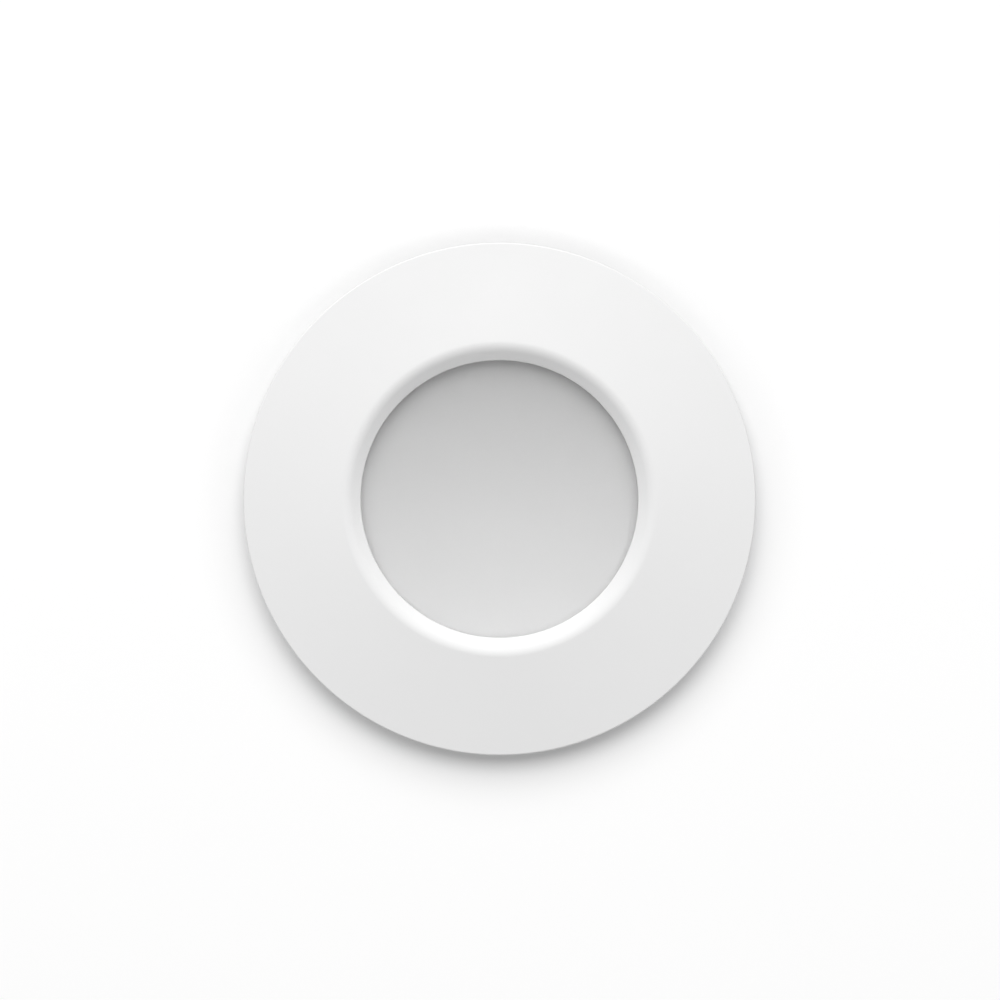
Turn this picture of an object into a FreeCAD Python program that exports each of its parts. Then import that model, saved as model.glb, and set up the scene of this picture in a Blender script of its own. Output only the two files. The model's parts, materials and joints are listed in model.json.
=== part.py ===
import FreeCAD, Part
import math
import os

# A small recessed ceiling light, in millimetres, with +Z pointing up into the ceiling.
# The origin is the centre of the ceiling face, which is the top of the soft gasket round the can.
# The light shines down, through a dished diffuser inside a plain white ring.
# Above the ceiling are the finned can, two sprung clips and the driver housing with its terminals.

Vec = FreeCAD.Vector

# Every cutting tool runs this far past the face that it cuts
overrun = 1.0
# Play between a piece and the pocket, hole or rim that it sits in
seat_play = 0.2
# Gap between pieces that move past each other on flat faces
slide_play = 0.15
# Radial play of a pin in its hole
pin_play = 0.05

# Bezel: the pressed ring that shows on the ceiling
bezel_diameter = 90.0
bezel_sheet = 1.0
bezel_slope_angle = 7.0
bezel_edge_round = 0.7
crest_width = 2.2
crest_round = 2.6
chamfer_angle = 40.0
lip_round = 0.3
bezel_flange_gap = 0.4
bezel_ceiling_gap = 0.3

# Bayonet: three lugs inside the ring hook over the rim of the can's flange
lug_count = 3
lug_first_angle = 90.0
lug_angle = 14.0
lug_play_angle = 2.0
lug_hook = 1.2
lug_thickness = 0.7
lug_gap = 0.2
unlock_angle = 22.0
stop_angle = 2.0
stop_height = 0.6

# Ceiling gasket
gasket_height = 1.2
gasket_width = 5.4
gasket_gap = 1.3

# Can: spigot, flange, lamp chamber and floor, die cast in one with the fins.
# The spigot's radius is a share of the ring's, and all that sits in the can follows the spigot.
spigot_share = 67 / 90
can_wall = 2.5
flange_thickness = 1.2
flange_side_gap = 1.4
shoulder_height = 14.0
shoulder_round = 1.5
chamber_height = 12.5
floor_thickness = 3.5
wire_hole_radius = 3.4

# Fins
fin_count = 28
fin_height = 18.0
fin_setback = 0.9
fin_root = 1.5
fin_tip = 1.0
fin_long_start = 9.0
fin_short_start = 17.0
fin_shoulder = 2.4
fin_sink = 1.0
boss_radius = 3.0
boss_hole_depth = 10.0

# Lens stack in the mouth of the can
lens_seat_height = 0.6
lens_shelf = 1.6
lens_overlap = 2.4
diffuser_setback = 5.5
diffuser_cover = 3.5
diffuser_thickness = 1.2
diffuser_sag = 3.6
diffuser_rim = 3.8
seal_thickness = 1.0
seal_inset = 0.3
lens_ring_height = 1.0
lens_ring_setback = 0.5
spanner_slot_count = 4
spanner_slot_width = 2.4
spanner_slot_depth = 0.5
spanner_slot_reach = 1.4

# Lamp chamber, where discs and circles are shares of the chamber's radius
pad_thickness = 0.5
pad_share = 0.7742
board_thickness = 1.0
board_share = 0.8226
board_hole_radius = 4.4
board_screw_share = 0.7355
board_screw_count = 3
board_screw_first_angle = 30.0
reflector_wall = 0.8
reflector_throat_share = 0.5645
reflector_foot = 1.8
reflector_mouth_setback = 1.4
chip_length = 3.5
chip_width = 2.8
chip_height = 0.7
chip_chamfer = 0.4
outer_chip_count = 12
outer_chip_share = 0.4355
inner_chip_count = 4
inner_chip_share = 0.2452
inner_chip_first_angle = 45.0

# Screws: a pan head on a plain shank, one size for each job
board_screw_radius = 1.25
board_screw_head = 1.9
board_screw_head_height = 1.3
board_screw_grip = 2.5
housing_screw_radius = 1.5
housing_screw_head = 2.6
housing_screw_head_height = 1.8
housing_screw_grip = 8.0
lid_screw_radius = 1.25
lid_screw_head = 2.3
lid_screw_head_height = 1.4
lid_screw_grip = 8.0
clamp_screw_radius = 1.25
clamp_screw_head = 2.2
clamp_screw_head_height = 1.6
clamp_screw_grip = 8.0
recess_share = 0.5
recess_width_share = 0.2
recess_depth_share = 0.5
head_bevel_share = 0.3

# Wires from the light board up to the driver
lead_radius = 0.6
lead_spacing = 1.6
lead_bend = 1.6
lead_reach = 5.6
grommet_flange = 0.8
grommet_rim = 0.8
grommet_bore = 1.9

# Spring clips
clip_pivot_reach = 4.0
clip_pivot_z = 22.0
clip_pin_radius = 1.2
clip_pin_head = 1.9
clip_pin_head_height = 0.6
clip_pad_share = 0.56
clip_pad_wall = 2.0
clip_pad_height = 15.5
clip_pocket_width = 18.0
clip_droop_angle = 20.0
arm_length = 36.0
arm_width = 10.8
arm_sheet = 0.8
arm_drop = 2.4
arm_lug_radius = 2.6
arm_heel = 1.2
arm_taper_share = 0.8
arm_window_width = 4.0
arm_window_start = 11.5
arm_window_length = 8.0
sleeve_length = 11.0
sleeve_wall = 1.0
sleeve_lip = 1.0
bracket_sheet = 0.8
bracket_ear_radius = 2.9
bracket_ear_gap = 0.7
bracket_foot_gap = 0.3
bracket_top = 31.2
bracket_tab_reach = 4.2
bracket_tab_drop = 1.0
rivet_radius = 1.1
rivet_head = 1.7
rivet_head_height = 0.7
rivet_spacing = 7.0
rivet_inset = 2.3
spring_wire = 0.9
spring_radius = 1.95
spring_turns = 3
spring_pitch = 1.6
spring_leg = 13.0
spring_foot = 4.8
spring_foot_angle = 4.8

# Driver housing: a drum with two flats, so that the raised clips pass beside it
housing_setback = 2.1
housing_flat_step = 0.8
housing_wall = 1.6
housing_floor = 1.8
housing_height = 23.0
housing_corner_round = 3.0
housing_foot_bevel = 0.8
plate_thickness = 2.0
plate_edge_round = 0.6
plate_lip = 1.2
plate_lip_wall = 1.0
partition_share = 0.2261
lid_screw_reach = 3.2
lid_screw_share = -0.3503
lid_boss_radius = 2.7
rib_count = 5
rib_width = 1.4
rib_height = 0.5
rib_spacing = 5.0
rib_margin = 4.0
housing_screw_shares = [(0.0, -0.8599), (0.6369, 0.4204), (-0.6369, 0.4204)]
housing_hole_radius = 2.2

# Driver board and what stands on it. Shares are of the board's half width.
driver_board_height = 4.2
driver_board_thickness = 1.6
driver_board_share = 0.7077
driver_board_back_share = -1.1685
driver_board_gap = 0.9
driver_board_round = 1.5
post_radius = 1.8
post_inset_share = 0.1413
peg_radius = 1.0
peg_height = 2.4
transformer_length_share = 0.8152
transformer_width_share = 0.7065
transformer_headroom = 4.4
transformer_leg_share = 0.1957
transformer_shares = (-0.4076, -0.4891)
coil_bulge = 1.2
capacitor_radius_share = 0.2174
capacitor_headroom = 2.4
capacitor_groove = 0.4
capacitor_shares = [(0.4891, -0.8152), (0.5163, -0.3261)]
film_length_share = 0.6522
film_width_share = 0.2717
film_height = 9.5
film_round = 0.6
film_shares = (-0.3533, 0.0435)
choke_radius_share = 0.1957
choke_height = 7.0
choke_waist = 1.0
choke_flange = 1.2
choke_shares = (0.2717, 0.038)
chip_package_length_share = 0.2717
chip_package_width_share = 0.2174
chip_package_height = 1.6
chip_shares = [(0.0, -0.9239), (0.8261, 0.0)]
fuse_radius = 1.6
fuse_length_share = 0.4348
fuse_cap = 1.6
fuse_shares = (-0.4457, -1.0217)

# Terminal block
pole_count = 3
pole_pitch = 7.5
block_wall = 1.5
block_depth_share = 0.2994
block_height = 12.0
block_gap = 0.3
block_round = 0.5
entry_radius = 1.6
entry_funnel = 0.7
entry_height = 4.2
entry_depth_share = 0.2766
cage_width = 4.6
cage_height = 4.8
cage_depth_share = 0.5319
cage_sheet = 0.5
cage_lift = 1.6
tail_width = 1.6
tail_thickness = 0.7
tail_reach = 2.4
button_width = 3.6
button_depth = 3.2
button_rise = 1.6
button_travel = 1.2
button_shoulder = 0.6
button_shoulder_height = 2.0
button_lip = 1.2
button_share = 0.4255
button_round = 0.4

# Cable entry and cord clamp
cable_radius = 4.2
cable_height = 9.6
collar_wall = 1.8
collar_inner_reach = 2.6
collar_outer_reach = 1.5
clamp_post_radius = 2.6
clamp_post_x = 8.4
clamp_gap = 0.3
clamp_bar_width = 5.0
clamp_bar_thickness = 2.2
clamp_bar_round = 0.6
clamp_groove = 0.8
saddle_wall = 2.4
saddle_half_width = 5.0

# Terminal cover and its hinge
hinge_reach = 1.9
knuckle_radius = 1.4
hinge_pin_radius = 0.75
cover_gap = 0.2
knuckle_side_gap = 0.4
knuckle_share = 0.7192
hinge_corner_gap = 1.8
lid_hinge_gap = 0.8
latch_half_width = 5.0
latch_thickness = 1.0
latch_drop = 5.0
latch_stand_off = 0.65
latch_nib = 0.35
latch_nib_height = 1.0
latch_ledge = 0.45
latch_ledge_height = 1.0
latch_play = 0.4

# Heights, radii and places that follow from the sizes above
flange_top = -gasket_height
flange_bottom = flange_top - flange_thickness
bezel_radius = bezel_diameter / 2
skirt_inner = bezel_radius - bezel_sheet
flange_radius = skirt_inner - flange_side_gap
spigot_radius = bezel_radius * spigot_share
gasket_inner = spigot_radius + gasket_gap
gasket_radius = gasket_inner + gasket_width
diffuser_radius = spigot_radius - diffuser_setback
aperture_radius = diffuser_radius - diffuser_cover
crest_radius = aperture_radius + crest_width
chamber_radius = spigot_radius - can_wall
pad_radius = chamber_radius * pad_share
board_radius = chamber_radius * board_share
board_screw_circle = chamber_radius * board_screw_share
reflector_throat = chamber_radius * reflector_throat_share
outer_chip_circle = chamber_radius * outer_chip_share
inner_chip_circle = chamber_radius * inner_chip_share
fin_radius = spigot_radius - fin_setback
clip_pad_x = bezel_radius * clip_pad_share
clip_pivot_x = clip_pad_x + clip_pivot_reach
floor_top = chamber_height + floor_thickness
fin_top = floor_top + fin_height
lens_bore = diffuser_radius - lens_overlap
lens_pocket = diffuser_radius + 2 * seat_play
shelf_top = lens_seat_height + lens_shelf
diffuser_back = lens_seat_height - seal_thickness
diffuser_front = diffuser_back - diffuser_thickness
board_top = chamber_height - pad_thickness
board_bottom = board_top - board_thickness
housing_radius = spigot_radius - housing_setback
housing_flat = clip_pad_x + housing_flat_step
housing_base = fin_top
housing_inside = housing_base + housing_floor
wall_top = housing_base + housing_height
plate_top = wall_top + plate_thickness
driver_board_bottom = housing_inside + driver_board_height
driver_board_top = driver_board_bottom + driver_board_thickness
transformer_height = wall_top - driver_board_top - transformer_headroom
capacitor_height = wall_top - driver_board_top - capacitor_headroom
driver_board_half_width = housing_flat * driver_board_share
driver_board_back = driver_board_half_width * driver_board_back_share
post_inset = driver_board_half_width * post_inset_share
lid_screw_x = driver_board_half_width + lid_screw_reach
lid_screw_y = housing_radius * lid_screw_share
partition_y = housing_radius * partition_share
driver_board_front = partition_y - driver_board_gap
partition_front = partition_y + housing_wall
hinge_y = partition_front + hinge_reach
hinge_z = plate_top - knuckle_radius
block_y = partition_front + block_gap
block_width = pole_count * pole_pitch + block_wall
block_depth = housing_radius * block_depth_share
entry_depth = block_depth * entry_depth_share
cage_depth = block_depth * cage_depth_share
button_y = block_depth * button_share
knuckle_half_width = housing_flat * knuckle_share
clamp_y = housing_radius - housing_wall - collar_inner_reach - clamp_gap - clamp_bar_width / 2
block_top = housing_inside + block_height
cable_z = housing_inside + cable_height
latch_y = housing_radius + latch_stand_off
slope = math.tan(math.radians(bezel_slope_angle))
chamfer_slope = math.tan(math.radians(chamfer_angle))


# Outlines and solids

def outline(corners, place):
    """Closed wire through corners (a, b, round), where place turns (a, b) into a point."""
    joints = []
    for i, (bx, by, rounding) in enumerate(corners):
        before = corners[i - 1]
        after = corners[(i + 1) % len(corners)]
        back = (before[0] - bx, before[1] - by)
        ahead = (after[0] - bx, after[1] - by)
        back_length = math.hypot(*back)
        ahead_length = math.hypot(*ahead)
        back = (back[0] / back_length, back[1] / back_length)
        ahead = (ahead[0] / ahead_length, ahead[1] / ahead_length)
        if not rounding:
            joints.append([(bx, by)])
            continue
        cosine = max(-1.0, min(1.0, back[0] * ahead[0] + back[1] * ahead[1]))
        half = math.acos(cosine) / 2
        setback = rounding / math.tan(half)
        middle = (back[0] + ahead[0], back[1] + ahead[1])
        reach = (rounding / math.sin(half) - rounding) / math.hypot(*middle)
        joints.append([
            (bx + back[0] * setback, by + back[1] * setback),
            (bx + middle[0] * reach, by + middle[1] * reach),
            (bx + ahead[0] * setback, by + ahead[1] * setback),
        ])
    edges = []
    for i, joint in enumerate(joints):
        if len(joint) > 1:
            edges.append(Part.Arc(*[place(*p) for p in joint]).toShape())
        start = place(*joint[-1])
        end = place(*joints[(i + 1) % len(joints)][0])
        if start.distanceToPoint(end) > 0:
            edges.append(Part.LineSegment(start, end).toShape())
    return Part.Wire(edges)


def turned(corners):
    """Solid of revolution about Z from an outline of (radius, height, round) corners."""
    face = Part.Face(outline(corners, lambda r, z: Vec(r, 0, z)))
    return face.revolve(Vec(0, 0, 0), Vec(0, 0, 1), 360)


def prism(corners, low, high, axis="z"):
    """Straight solid from an outline, between two places along an axis."""
    places = {
        "x": lambda a, b: Vec(low, a, b),
        "y": lambda a, b: Vec(a, low, b),
        "z": lambda a, b: Vec(a, b, low),
    }
    along = {"x": Vec(1, 0, 0), "y": Vec(0, 1, 0), "z": Vec(0, 0, 1)}
    face = Part.Face(outline(corners, places[axis]))
    return face.extrude(along[axis] * (high - low))


def block(x0, x1, y0, y1, z0, z1):
    return Part.makeBox(x1 - x0, y1 - y0, z1 - z0, Vec(x0, y0, z0))


def rod(radius, start, end):
    return Part.makeCylinder(radius, (end - start).Length, start, end - start)


def fused(shapes):
    whole = shapes[0].fuse(shapes[1:]) if len(shapes) > 1 else shapes[0]
    return whole.removeSplitter()


def rounded(shape, radius, picks):
    """Fillets the edges that picks says yes to."""
    edges = [e for e in shape.Edges if picks(e)]
    return shape.makeFillet(radius, edges)


def upright(edge):
    ends = [v.Point for v in edge.Vertexes]
    if len(ends) < 2:
        return False
    step = ends[1] - ends[0]
    return abs(step.z) > 0 and abs(step.x) + abs(step.y) < abs(step.z) / 1000


def at_height(z):
    return lambda e: abs(e.BoundBox.ZMin - z) + abs(e.BoundBox.ZMax - z) < seat_play / 100


def turned_to(shape, angle):
    """Copy of a shape, turned about the vertical axis."""
    copy = shape.copy()
    copy.rotate(Vec(0, 0, 0), Vec(0, 0, 1), angle)
    return copy


def moved(shape, x, y, z):
    copy = shape.copy()
    copy.translate(Vec(x, y, z))
    return copy


def sector(inner, outer, low, high, middle_angle, width_angle):
    """Piece of a ring, centred on an angle."""
    ring = Part.makeCylinder(outer, high - low, Vec(0, 0, low), Vec(0, 0, 1), width_angle)
    ring = ring.cut(Part.makeCylinder(inner, high - low + 2 * overrun, Vec(0, 0, low - overrun)))
    return turned_to(ring, middle_angle - width_angle / 2)


def drum(radius, flat, low, high, rounding):
    """Round drum with a flat on each side, its upright edges rounded."""
    body = Part.makeCylinder(radius, high - low, Vec(0, 0, low))
    body = body.common(block(-flat, flat, -radius - overrun, radius + overrun, low, high))
    return rounded(body, rounding, upright)


def screw(radius, head, head_height, grip):
    """Pan head screw with a cross recess. Its head stands on z = 0 and its shank points down."""
    bevel = head_height * head_bevel_share
    body = turned([
        (0, head_height, 0),
        (head - bevel, head_height, 0),
        (head, head_height - bevel, 0),
        (head, 0, 0),
        (radius, 0, 0),
        (radius, -grip, 0),
        (0, -grip, 0),
    ])
    reach = head * recess_share
    half = head * recess_width_share / 2
    floor = head_height * (1 - recess_depth_share)
    cross = [
        block(-reach, reach, -half, half, floor, head_height + overrun),
        block(-half, half, -reach, reach, floor, head_height + overrun),
    ]
    return body.cut(cross[0].fuse(cross[1]))


def tube_along(points, bend, radius):
    """Round wire along straight runs joined by arcs of one bend radius."""
    edges = []
    last = points[0]
    for i in range(1, len(points) - 1):
        back = (points[i - 1] - points[i]).normalize()
        ahead = (points[i + 1] - points[i]).normalize()
        half = back.getAngle(ahead) / 2
        setback = bend / math.tan(half)
        middle = (back + ahead).normalize()
        start = points[i] + back * setback
        end = points[i] + ahead * setback
        crown = points[i] + middle * (bend / math.sin(half) - bend)
        edges.append(Part.LineSegment(last, start).toShape())
        edges.append(Part.Arc(start, crown, end).toShape())
        last = end
    edges.append(Part.LineSegment(last, points[-1]).toShape())
    return swept(edges, radius)


def swept(edges, radius):
    path = Part.Wire(edges)
    first = edges[0]
    start = first.valueAt(first.FirstParameter)
    direction = first.tangentAt(first.FirstParameter)
    ring = Part.Wire([Part.makeCircle(radius, start, direction)])
    return path.makePipeShell([ring], True, False)


def biarc(start, start_way, end, end_way):
    """Two arcs that join two points smoothly, leaving and arriving along the given ways."""
    chord = end - start
    ways = start_way + end_way
    turn = 2 * (1 - start_way.dot(end_way))
    along = chord.dot(ways)
    reach = (-along + math.sqrt(along * along + turn * chord.dot(chord))) / turn
    knees = [start + start_way * reach, end - end_way * reach]
    middle = (knees[0] + knees[1]) / 2
    arcs = []
    for first, knee, last in [(start, knees[0], middle), (middle, knees[1], end)]:
        weight = math.cos((knee - first).getAngle(last - first))
        crown = (first + knee * (2 * weight) + last) / (2 + 2 * weight)
        arcs.append(Part.Arc(first, crown, last).toShape())
    return arcs


# The face of the light

def face_height(radius):
    """Height of the bezel's outer skin on its gentle slope."""
    skin = flange_bottom - bezel_flange_gap - bezel_sheet / math.cos(math.radians(bezel_slope_angle))
    return skin - (flange_radius - radius) * slope


def chamfer_height(radius):
    """Height of the bezel's outer skin where it rolls in towards the diffuser."""
    return face_height(crest_radius) + (crest_radius - radius) * chamfer_slope


def bezel():
    steep = bezel_sheet / math.cos(math.radians(chamfer_angle))
    gentle = bezel_sheet / math.cos(math.radians(bezel_slope_angle))
    crest_shift = (steep - gentle) / (slope + chamfer_slope)
    inner_crest = crest_radius + crest_shift
    ring = turned([
        (bezel_radius, -bezel_ceiling_gap, 0),
        (bezel_radius, face_height(bezel_radius), bezel_edge_round),
        (crest_radius, face_height(crest_radius), crest_round),
        (aperture_radius, chamfer_height(aperture_radius), lip_round),
        (aperture_radius, chamfer_height(aperture_radius) + steep, 0),
        (inner_crest, face_height(inner_crest) + gentle, crest_round - bezel_sheet),
        (skirt_inner, face_height(skirt_inner) + gentle, 0),
        (skirt_inner, -bezel_ceiling_gap, 0),
    ])
    lug_low = flange_top + lug_gap
    lugs = [
        sector(flange_radius - lug_hook, bezel_radius - bezel_sheet / 2,
               lug_low, lug_low + lug_thickness,
               lug_first_angle + i * 360 / lug_count, lug_angle)
        for i in range(lug_count)
    ]
    return fused([ring] + lugs)


def ceiling_gasket():
    return turned([
        (gasket_inner, flange_top, 0),
        (gasket_radius, flange_top, 0),
        (gasket_radius, 0, 0),
        (gasket_inner, 0, 0),
    ])


def lens_ring():
    outer = lens_pocket - pin_play
    inner = aperture_radius + lens_ring_setback
    ring = turned([
        (inner, diffuser_front, 0),
        (outer, diffuser_front, 0),
        (outer, diffuser_front - lens_ring_height, 0),
        (inner, diffuser_front - lens_ring_height, 0),
    ])
    low = diffuser_front - lens_ring_height
    half = spanner_slot_width / 2
    slot = block(outer - spanner_slot_reach, outer + overrun, -half, half,
                 low - overrun, low + spanner_slot_depth)
    slots = [turned_to(slot, i * 360 / spanner_slot_count) for i in range(spanner_slot_count)]
    return ring.cut(slots)


def diffuser():
    dish = diffuser_radius - diffuser_rim

    def skin(height):
        return [Vec(-dish, 0, height), Vec(0, 0, height + diffuser_sag), Vec(dish, 0, height)]

    front = Part.Arc(*skin(diffuser_front))
    back = Part.Arc(*skin(diffuser_back))
    centre_front = skin(diffuser_front)[1]
    centre_back = skin(diffuser_back)[1]
    edge = [
        Vec(dish, 0, diffuser_front),
        Vec(diffuser_radius, 0, diffuser_front),
        Vec(diffuser_radius, 0, diffuser_back),
        Vec(dish, 0, diffuser_back),
    ]
    half_front = Part.Arc(centre_front, front.value(midway(front, 0.75)), edge[0])
    half_back = Part.Arc(edge[3], back.value(midway(back, 0.75)), centre_back)
    sides = [Part.LineSegment(edge[i], edge[i + 1]).toShape() for i in range(3)]
    axis = Part.LineSegment(centre_back, centre_front).toShape()
    section = Part.Wire([half_front.toShape()] + sides + [half_back.toShape(), axis])
    return Part.Face(section).revolve(Vec(0, 0, 0), Vec(0, 0, 1), 360)


def midway(arc, way_share):
    return arc.FirstParameter + (arc.LastParameter - arc.FirstParameter) * way_share


def lens_seal():
    return turned([
        (lens_bore + seal_inset, diffuser_back, 0),
        (diffuser_radius, diffuser_back, 0),
        (diffuser_radius, lens_seat_height, 0),
        (lens_bore + seal_inset, lens_seat_height, 0),
    ])


# The lamp chamber

def reflector():
    mouth = lens_bore - reflector_mouth_setback
    foot_top = shelf_top + reflector_wall
    throat_low = board_bottom - reflector_wall
    return turned([
        (mouth, shelf_top, 0),
        (chamber_radius - 2 * seat_play, shelf_top, 0),
        (chamber_radius - 2 * seat_play, foot_top, 0),
        (mouth + reflector_wall, foot_top, 0),
        (reflector_throat + reflector_wall, throat_low, 0),
        (reflector_throat + reflector_foot, throat_low, 0),
        (reflector_throat + reflector_foot, board_bottom, 0),
        (reflector_throat, board_bottom, 0),
        (reflector_throat, throat_low, 0),
    ])


def board_screw_spots():
    for i in range(board_screw_count):
        angle = math.radians(board_screw_first_angle + i * 360 / board_screw_count)
        yield board_screw_circle * math.cos(angle), board_screw_circle * math.sin(angle)


def holed_disc(radius, low, high):
    disc = Part.makeCylinder(radius, high - low, Vec(0, 0, low))
    tall = high - low + 2 * overrun
    holes = [Part.makeCylinder(board_hole_radius, tall, Vec(0, 0, low - overrun))]
    for x, y in board_screw_spots():
        hole = Part.makeCylinder(board_screw_radius + seat_play, tall, Vec(x, y, low - overrun))
        holes.append(hole)
    return disc.cut(holes)


def led_board():
    return holed_disc(board_radius, board_bottom, board_top)


def thermal_pad():
    return holed_disc(pad_radius, board_top, chamber_height)


def led_chips():
    half_length = chip_length / 2
    half_width = chip_width / 2
    chip = prism([
        (-half_width, -half_length, 0),
        (half_width, -half_length, 0),
        (half_width, half_length - chip_chamfer, 0),
        (half_width - chip_chamfer, half_length, 0),
        (-half_width, half_length, 0),
    ], board_bottom - chip_height, board_bottom)
    rings = [
        (outer_chip_count, outer_chip_circle, 0.0),
        (inner_chip_count, inner_chip_circle, inner_chip_first_angle),
    ]
    chips = []
    for count, circle, first in rings:
        for i in range(count):
            chips.append(turned_to(moved(chip, circle, 0, 0), first + i * 360 / count))
    return chips


def led_board_screws():
    one = screw(board_screw_radius, board_screw_head, board_screw_head_height,
                board_top - board_bottom + pad_thickness + board_screw_grip)
    one.rotate(Vec(0, 0, 0), Vec(1, 0, 0), 180)
    return [moved(one, x, y, board_bottom) for x, y in board_screw_spots()]


def led_leads():
    wires = []
    for side in (-1, 1):
        x = side * lead_spacing / 2
        low = board_bottom - lead_radius
        route = [
            Vec(side * lead_reach, 0, low),
            Vec(x, 0, low),
            Vec(x, 0, driver_board_bottom),
        ]
        wires.append(tube_along(route, lead_bend, lead_radius))
    return wires


def wire_grommet():
    neck = wire_hole_radius
    rim = neck + grommet_rim
    return turned([
        (grommet_bore, chamber_height - grommet_flange, 0),
        (rim, chamber_height - grommet_flange, 0),
        (rim, chamber_height, 0),
        (neck, chamber_height, 0),
        (neck, floor_top, 0),
        (rim, floor_top, 0),
        (rim, floor_top + grommet_flange, 0),
        (grommet_bore, floor_top + grommet_flange, 0),
    ])


# The die cast can and its fins

def housing_screw_spots():
    return [(x * housing_radius, y * housing_radius) for x, y in housing_screw_shares]


def fin(start):
    """One drafted fin, standing in the floor of the can. The envelope trims its outer edge."""
    def section(thickness, height):
        half = thickness / 2
        end = fin_radius + overrun
        corners = [(start, -half), (end, -half), (end, half), (start, half), (start, -half)]
        return Part.makePolygon([Vec(x, y, height) for x, y in corners])

    root = section(fin_root, floor_top - fin_sink)
    return Part.makeLoft([root, section(fin_tip, fin_top)], True, True)


def heat_sink():
    can = turned([
        (0, chamber_height, 0),
        (chamber_radius, chamber_height, 0),
        (chamber_radius, shelf_top, 0),
        (lens_bore, shelf_top, 0),
        (lens_bore, lens_seat_height, 0),
        (lens_pocket, lens_seat_height, 0),
        (lens_pocket, flange_bottom, 0),
        (flange_radius, flange_bottom, 0),
        (flange_radius, flange_top, 0),
        (spigot_radius, flange_top, 0),
        (spigot_radius, shoulder_height, 0),
        (spigot_radius - shoulder_round, floor_top, 0),
        (0, floor_top, 0),
    ])
    long_fin = fin(fin_long_start)
    short_fin = fin(fin_short_start)
    fins = [
        turned_to(short_fin if i % 2 else long_fin, i * 360 / fin_count)
        for i in range(fin_count)
    ]
    envelope = turned([
        (0, floor_top - fin_sink, 0),
        (fin_radius, floor_top - fin_sink, 0),
        (fin_radius, fin_top - fin_shoulder, 0),
        (fin_radius - fin_shoulder, fin_top, 0),
        (0, fin_top, 0),
    ])
    shaped = [f.common(envelope) for f in fins]
    bosses = [
        Part.makeCylinder(boss_radius, fin_top - floor_top + fin_sink, Vec(x, y, floor_top - fin_sink))
        for x, y in housing_screw_spots()
    ]
    pad_half = clip_pocket_width / 2
    pockets = []
    pads = []
    for side in (0, 180):
        pocket = block(clip_pad_x, bezel_radius, -pad_half, pad_half, floor_top, fin_top + overrun)
        pad = block(clip_pad_x - clip_pad_wall, clip_pad_x, -pad_half, pad_half,
                    floor_top - fin_sink, floor_top + clip_pad_height)
        pockets.append(turned_to(pocket, side))
        pads.append(turned_to(pad, side))
    body = fused([can] + shaped + bosses)
    body = fused([body.cut(pockets)] + pads)
    return fused([body.cut(heat_sink_holes())] + bayonet_stops())


def heat_sink_holes():
    holes = [Part.makeCylinder(wire_hole_radius, floor_thickness + 2 * overrun,
                               Vec(0, 0, chamber_height - overrun))]
    for x, y in board_screw_spots():
        hole = Part.makeCylinder(board_screw_radius + pin_play, board_screw_grip + seat_play + overrun,
                                 Vec(x, y, chamber_height - overrun))
        holes.append(hole)
    for x, y in housing_screw_spots():
        hole = Part.makeCylinder(housing_screw_radius + pin_play, boss_hole_depth + overrun,
                                 Vec(x, y, fin_top - boss_hole_depth))
        holes.append(hole)
    for x, side, y, z in rivet_spots():
        hole = rod(rivet_radius + pin_play, Vec(x - side * (clip_pad_wall + overrun), y, z),
                   Vec(x + side * overrun, y, z))
        holes.append(hole)
    width = lug_angle + 2 * lug_play_angle
    for i in range(lug_count):
        middle = lug_first_angle - unlock_angle + i * 360 / lug_count
        notch = sector(flange_radius - lug_hook - seat_play, flange_radius + overrun,
                       flange_bottom - overrun, flange_top + overrun, middle, width)
        holes.append(notch)
    return holes


def bayonet_stops():
    """Small ribs on the flange that end the bezel's turn in its locked place."""
    reach = lug_angle / 2 + lug_play_angle
    return [
        sector(flange_radius - lug_hook, flange_radius, flange_top - flange_thickness / 2,
               flange_top + stop_height, lug_first_angle + reach + i * 360 / lug_count, stop_angle)
        for i in range(lug_count)
    ]


# Spring clips, drawn for the +X side and turned half round for the other

def on_arm(u, v):
    """Point u along the clip's arm and v above its pivot, as the arm lies at rest."""
    droop = math.radians(clip_droop_angle)
    x = clip_pivot_x + u * math.cos(droop) + v * math.sin(droop)
    z = clip_pivot_z - u * math.sin(droop) + v * math.cos(droop)
    return x, z


def arm_point(u, y, v):
    x, z = on_arm(u, v)
    return Vec(x, y, z)


def arm_slab(u0, u1, v0, v1, half_width):
    """Flat bar along the arm."""
    corners = [on_arm(u0, v0), on_arm(u1, v0), on_arm(u1, v1), on_arm(u0, v1)]
    return prism([(x, z, 0) for x, z in corners], -half_width, half_width, "y")


def clip_arm():
    top = -arm_drop
    low = top - arm_sheet
    half = arm_width / 2
    strip = arm_slab(-arm_heel, arm_length, low, top, half)
    trims = arm_trims(low - overrun, top + overrun)
    window = arm_slab(arm_window_start, arm_window_start + arm_window_length,
                      low - overrun, top + overrun, arm_window_width / 2)
    strip = strip.cut(trims + [window])
    lugs = []
    for side in (-1, 1):
        outer = side * half
        inner = side * (half - arm_sheet)
        near = Vec(clip_pivot_x, min(outer, inner), clip_pivot_z)
        round_end = rod(arm_lug_radius, near, near + Vec(0, arm_sheet, 0))
        web = prism([(x, z, 0) for x, z in [
            on_arm(-arm_heel, low), on_arm(arm_lug_radius * 2, low),
            on_arm(arm_lug_radius, 0), on_arm(-arm_heel, 0),
        ]], min(outer, inner), max(outer, inner), "y")
        lugs += [round_end, web]
    arm = fused([strip] + lugs)
    hole = rod(clip_pin_radius + pin_play, Vec(clip_pivot_x, -half - overrun, clip_pivot_z),
               Vec(clip_pivot_x, half + overrun, clip_pivot_z))
    return arm.cut(hole)


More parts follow.
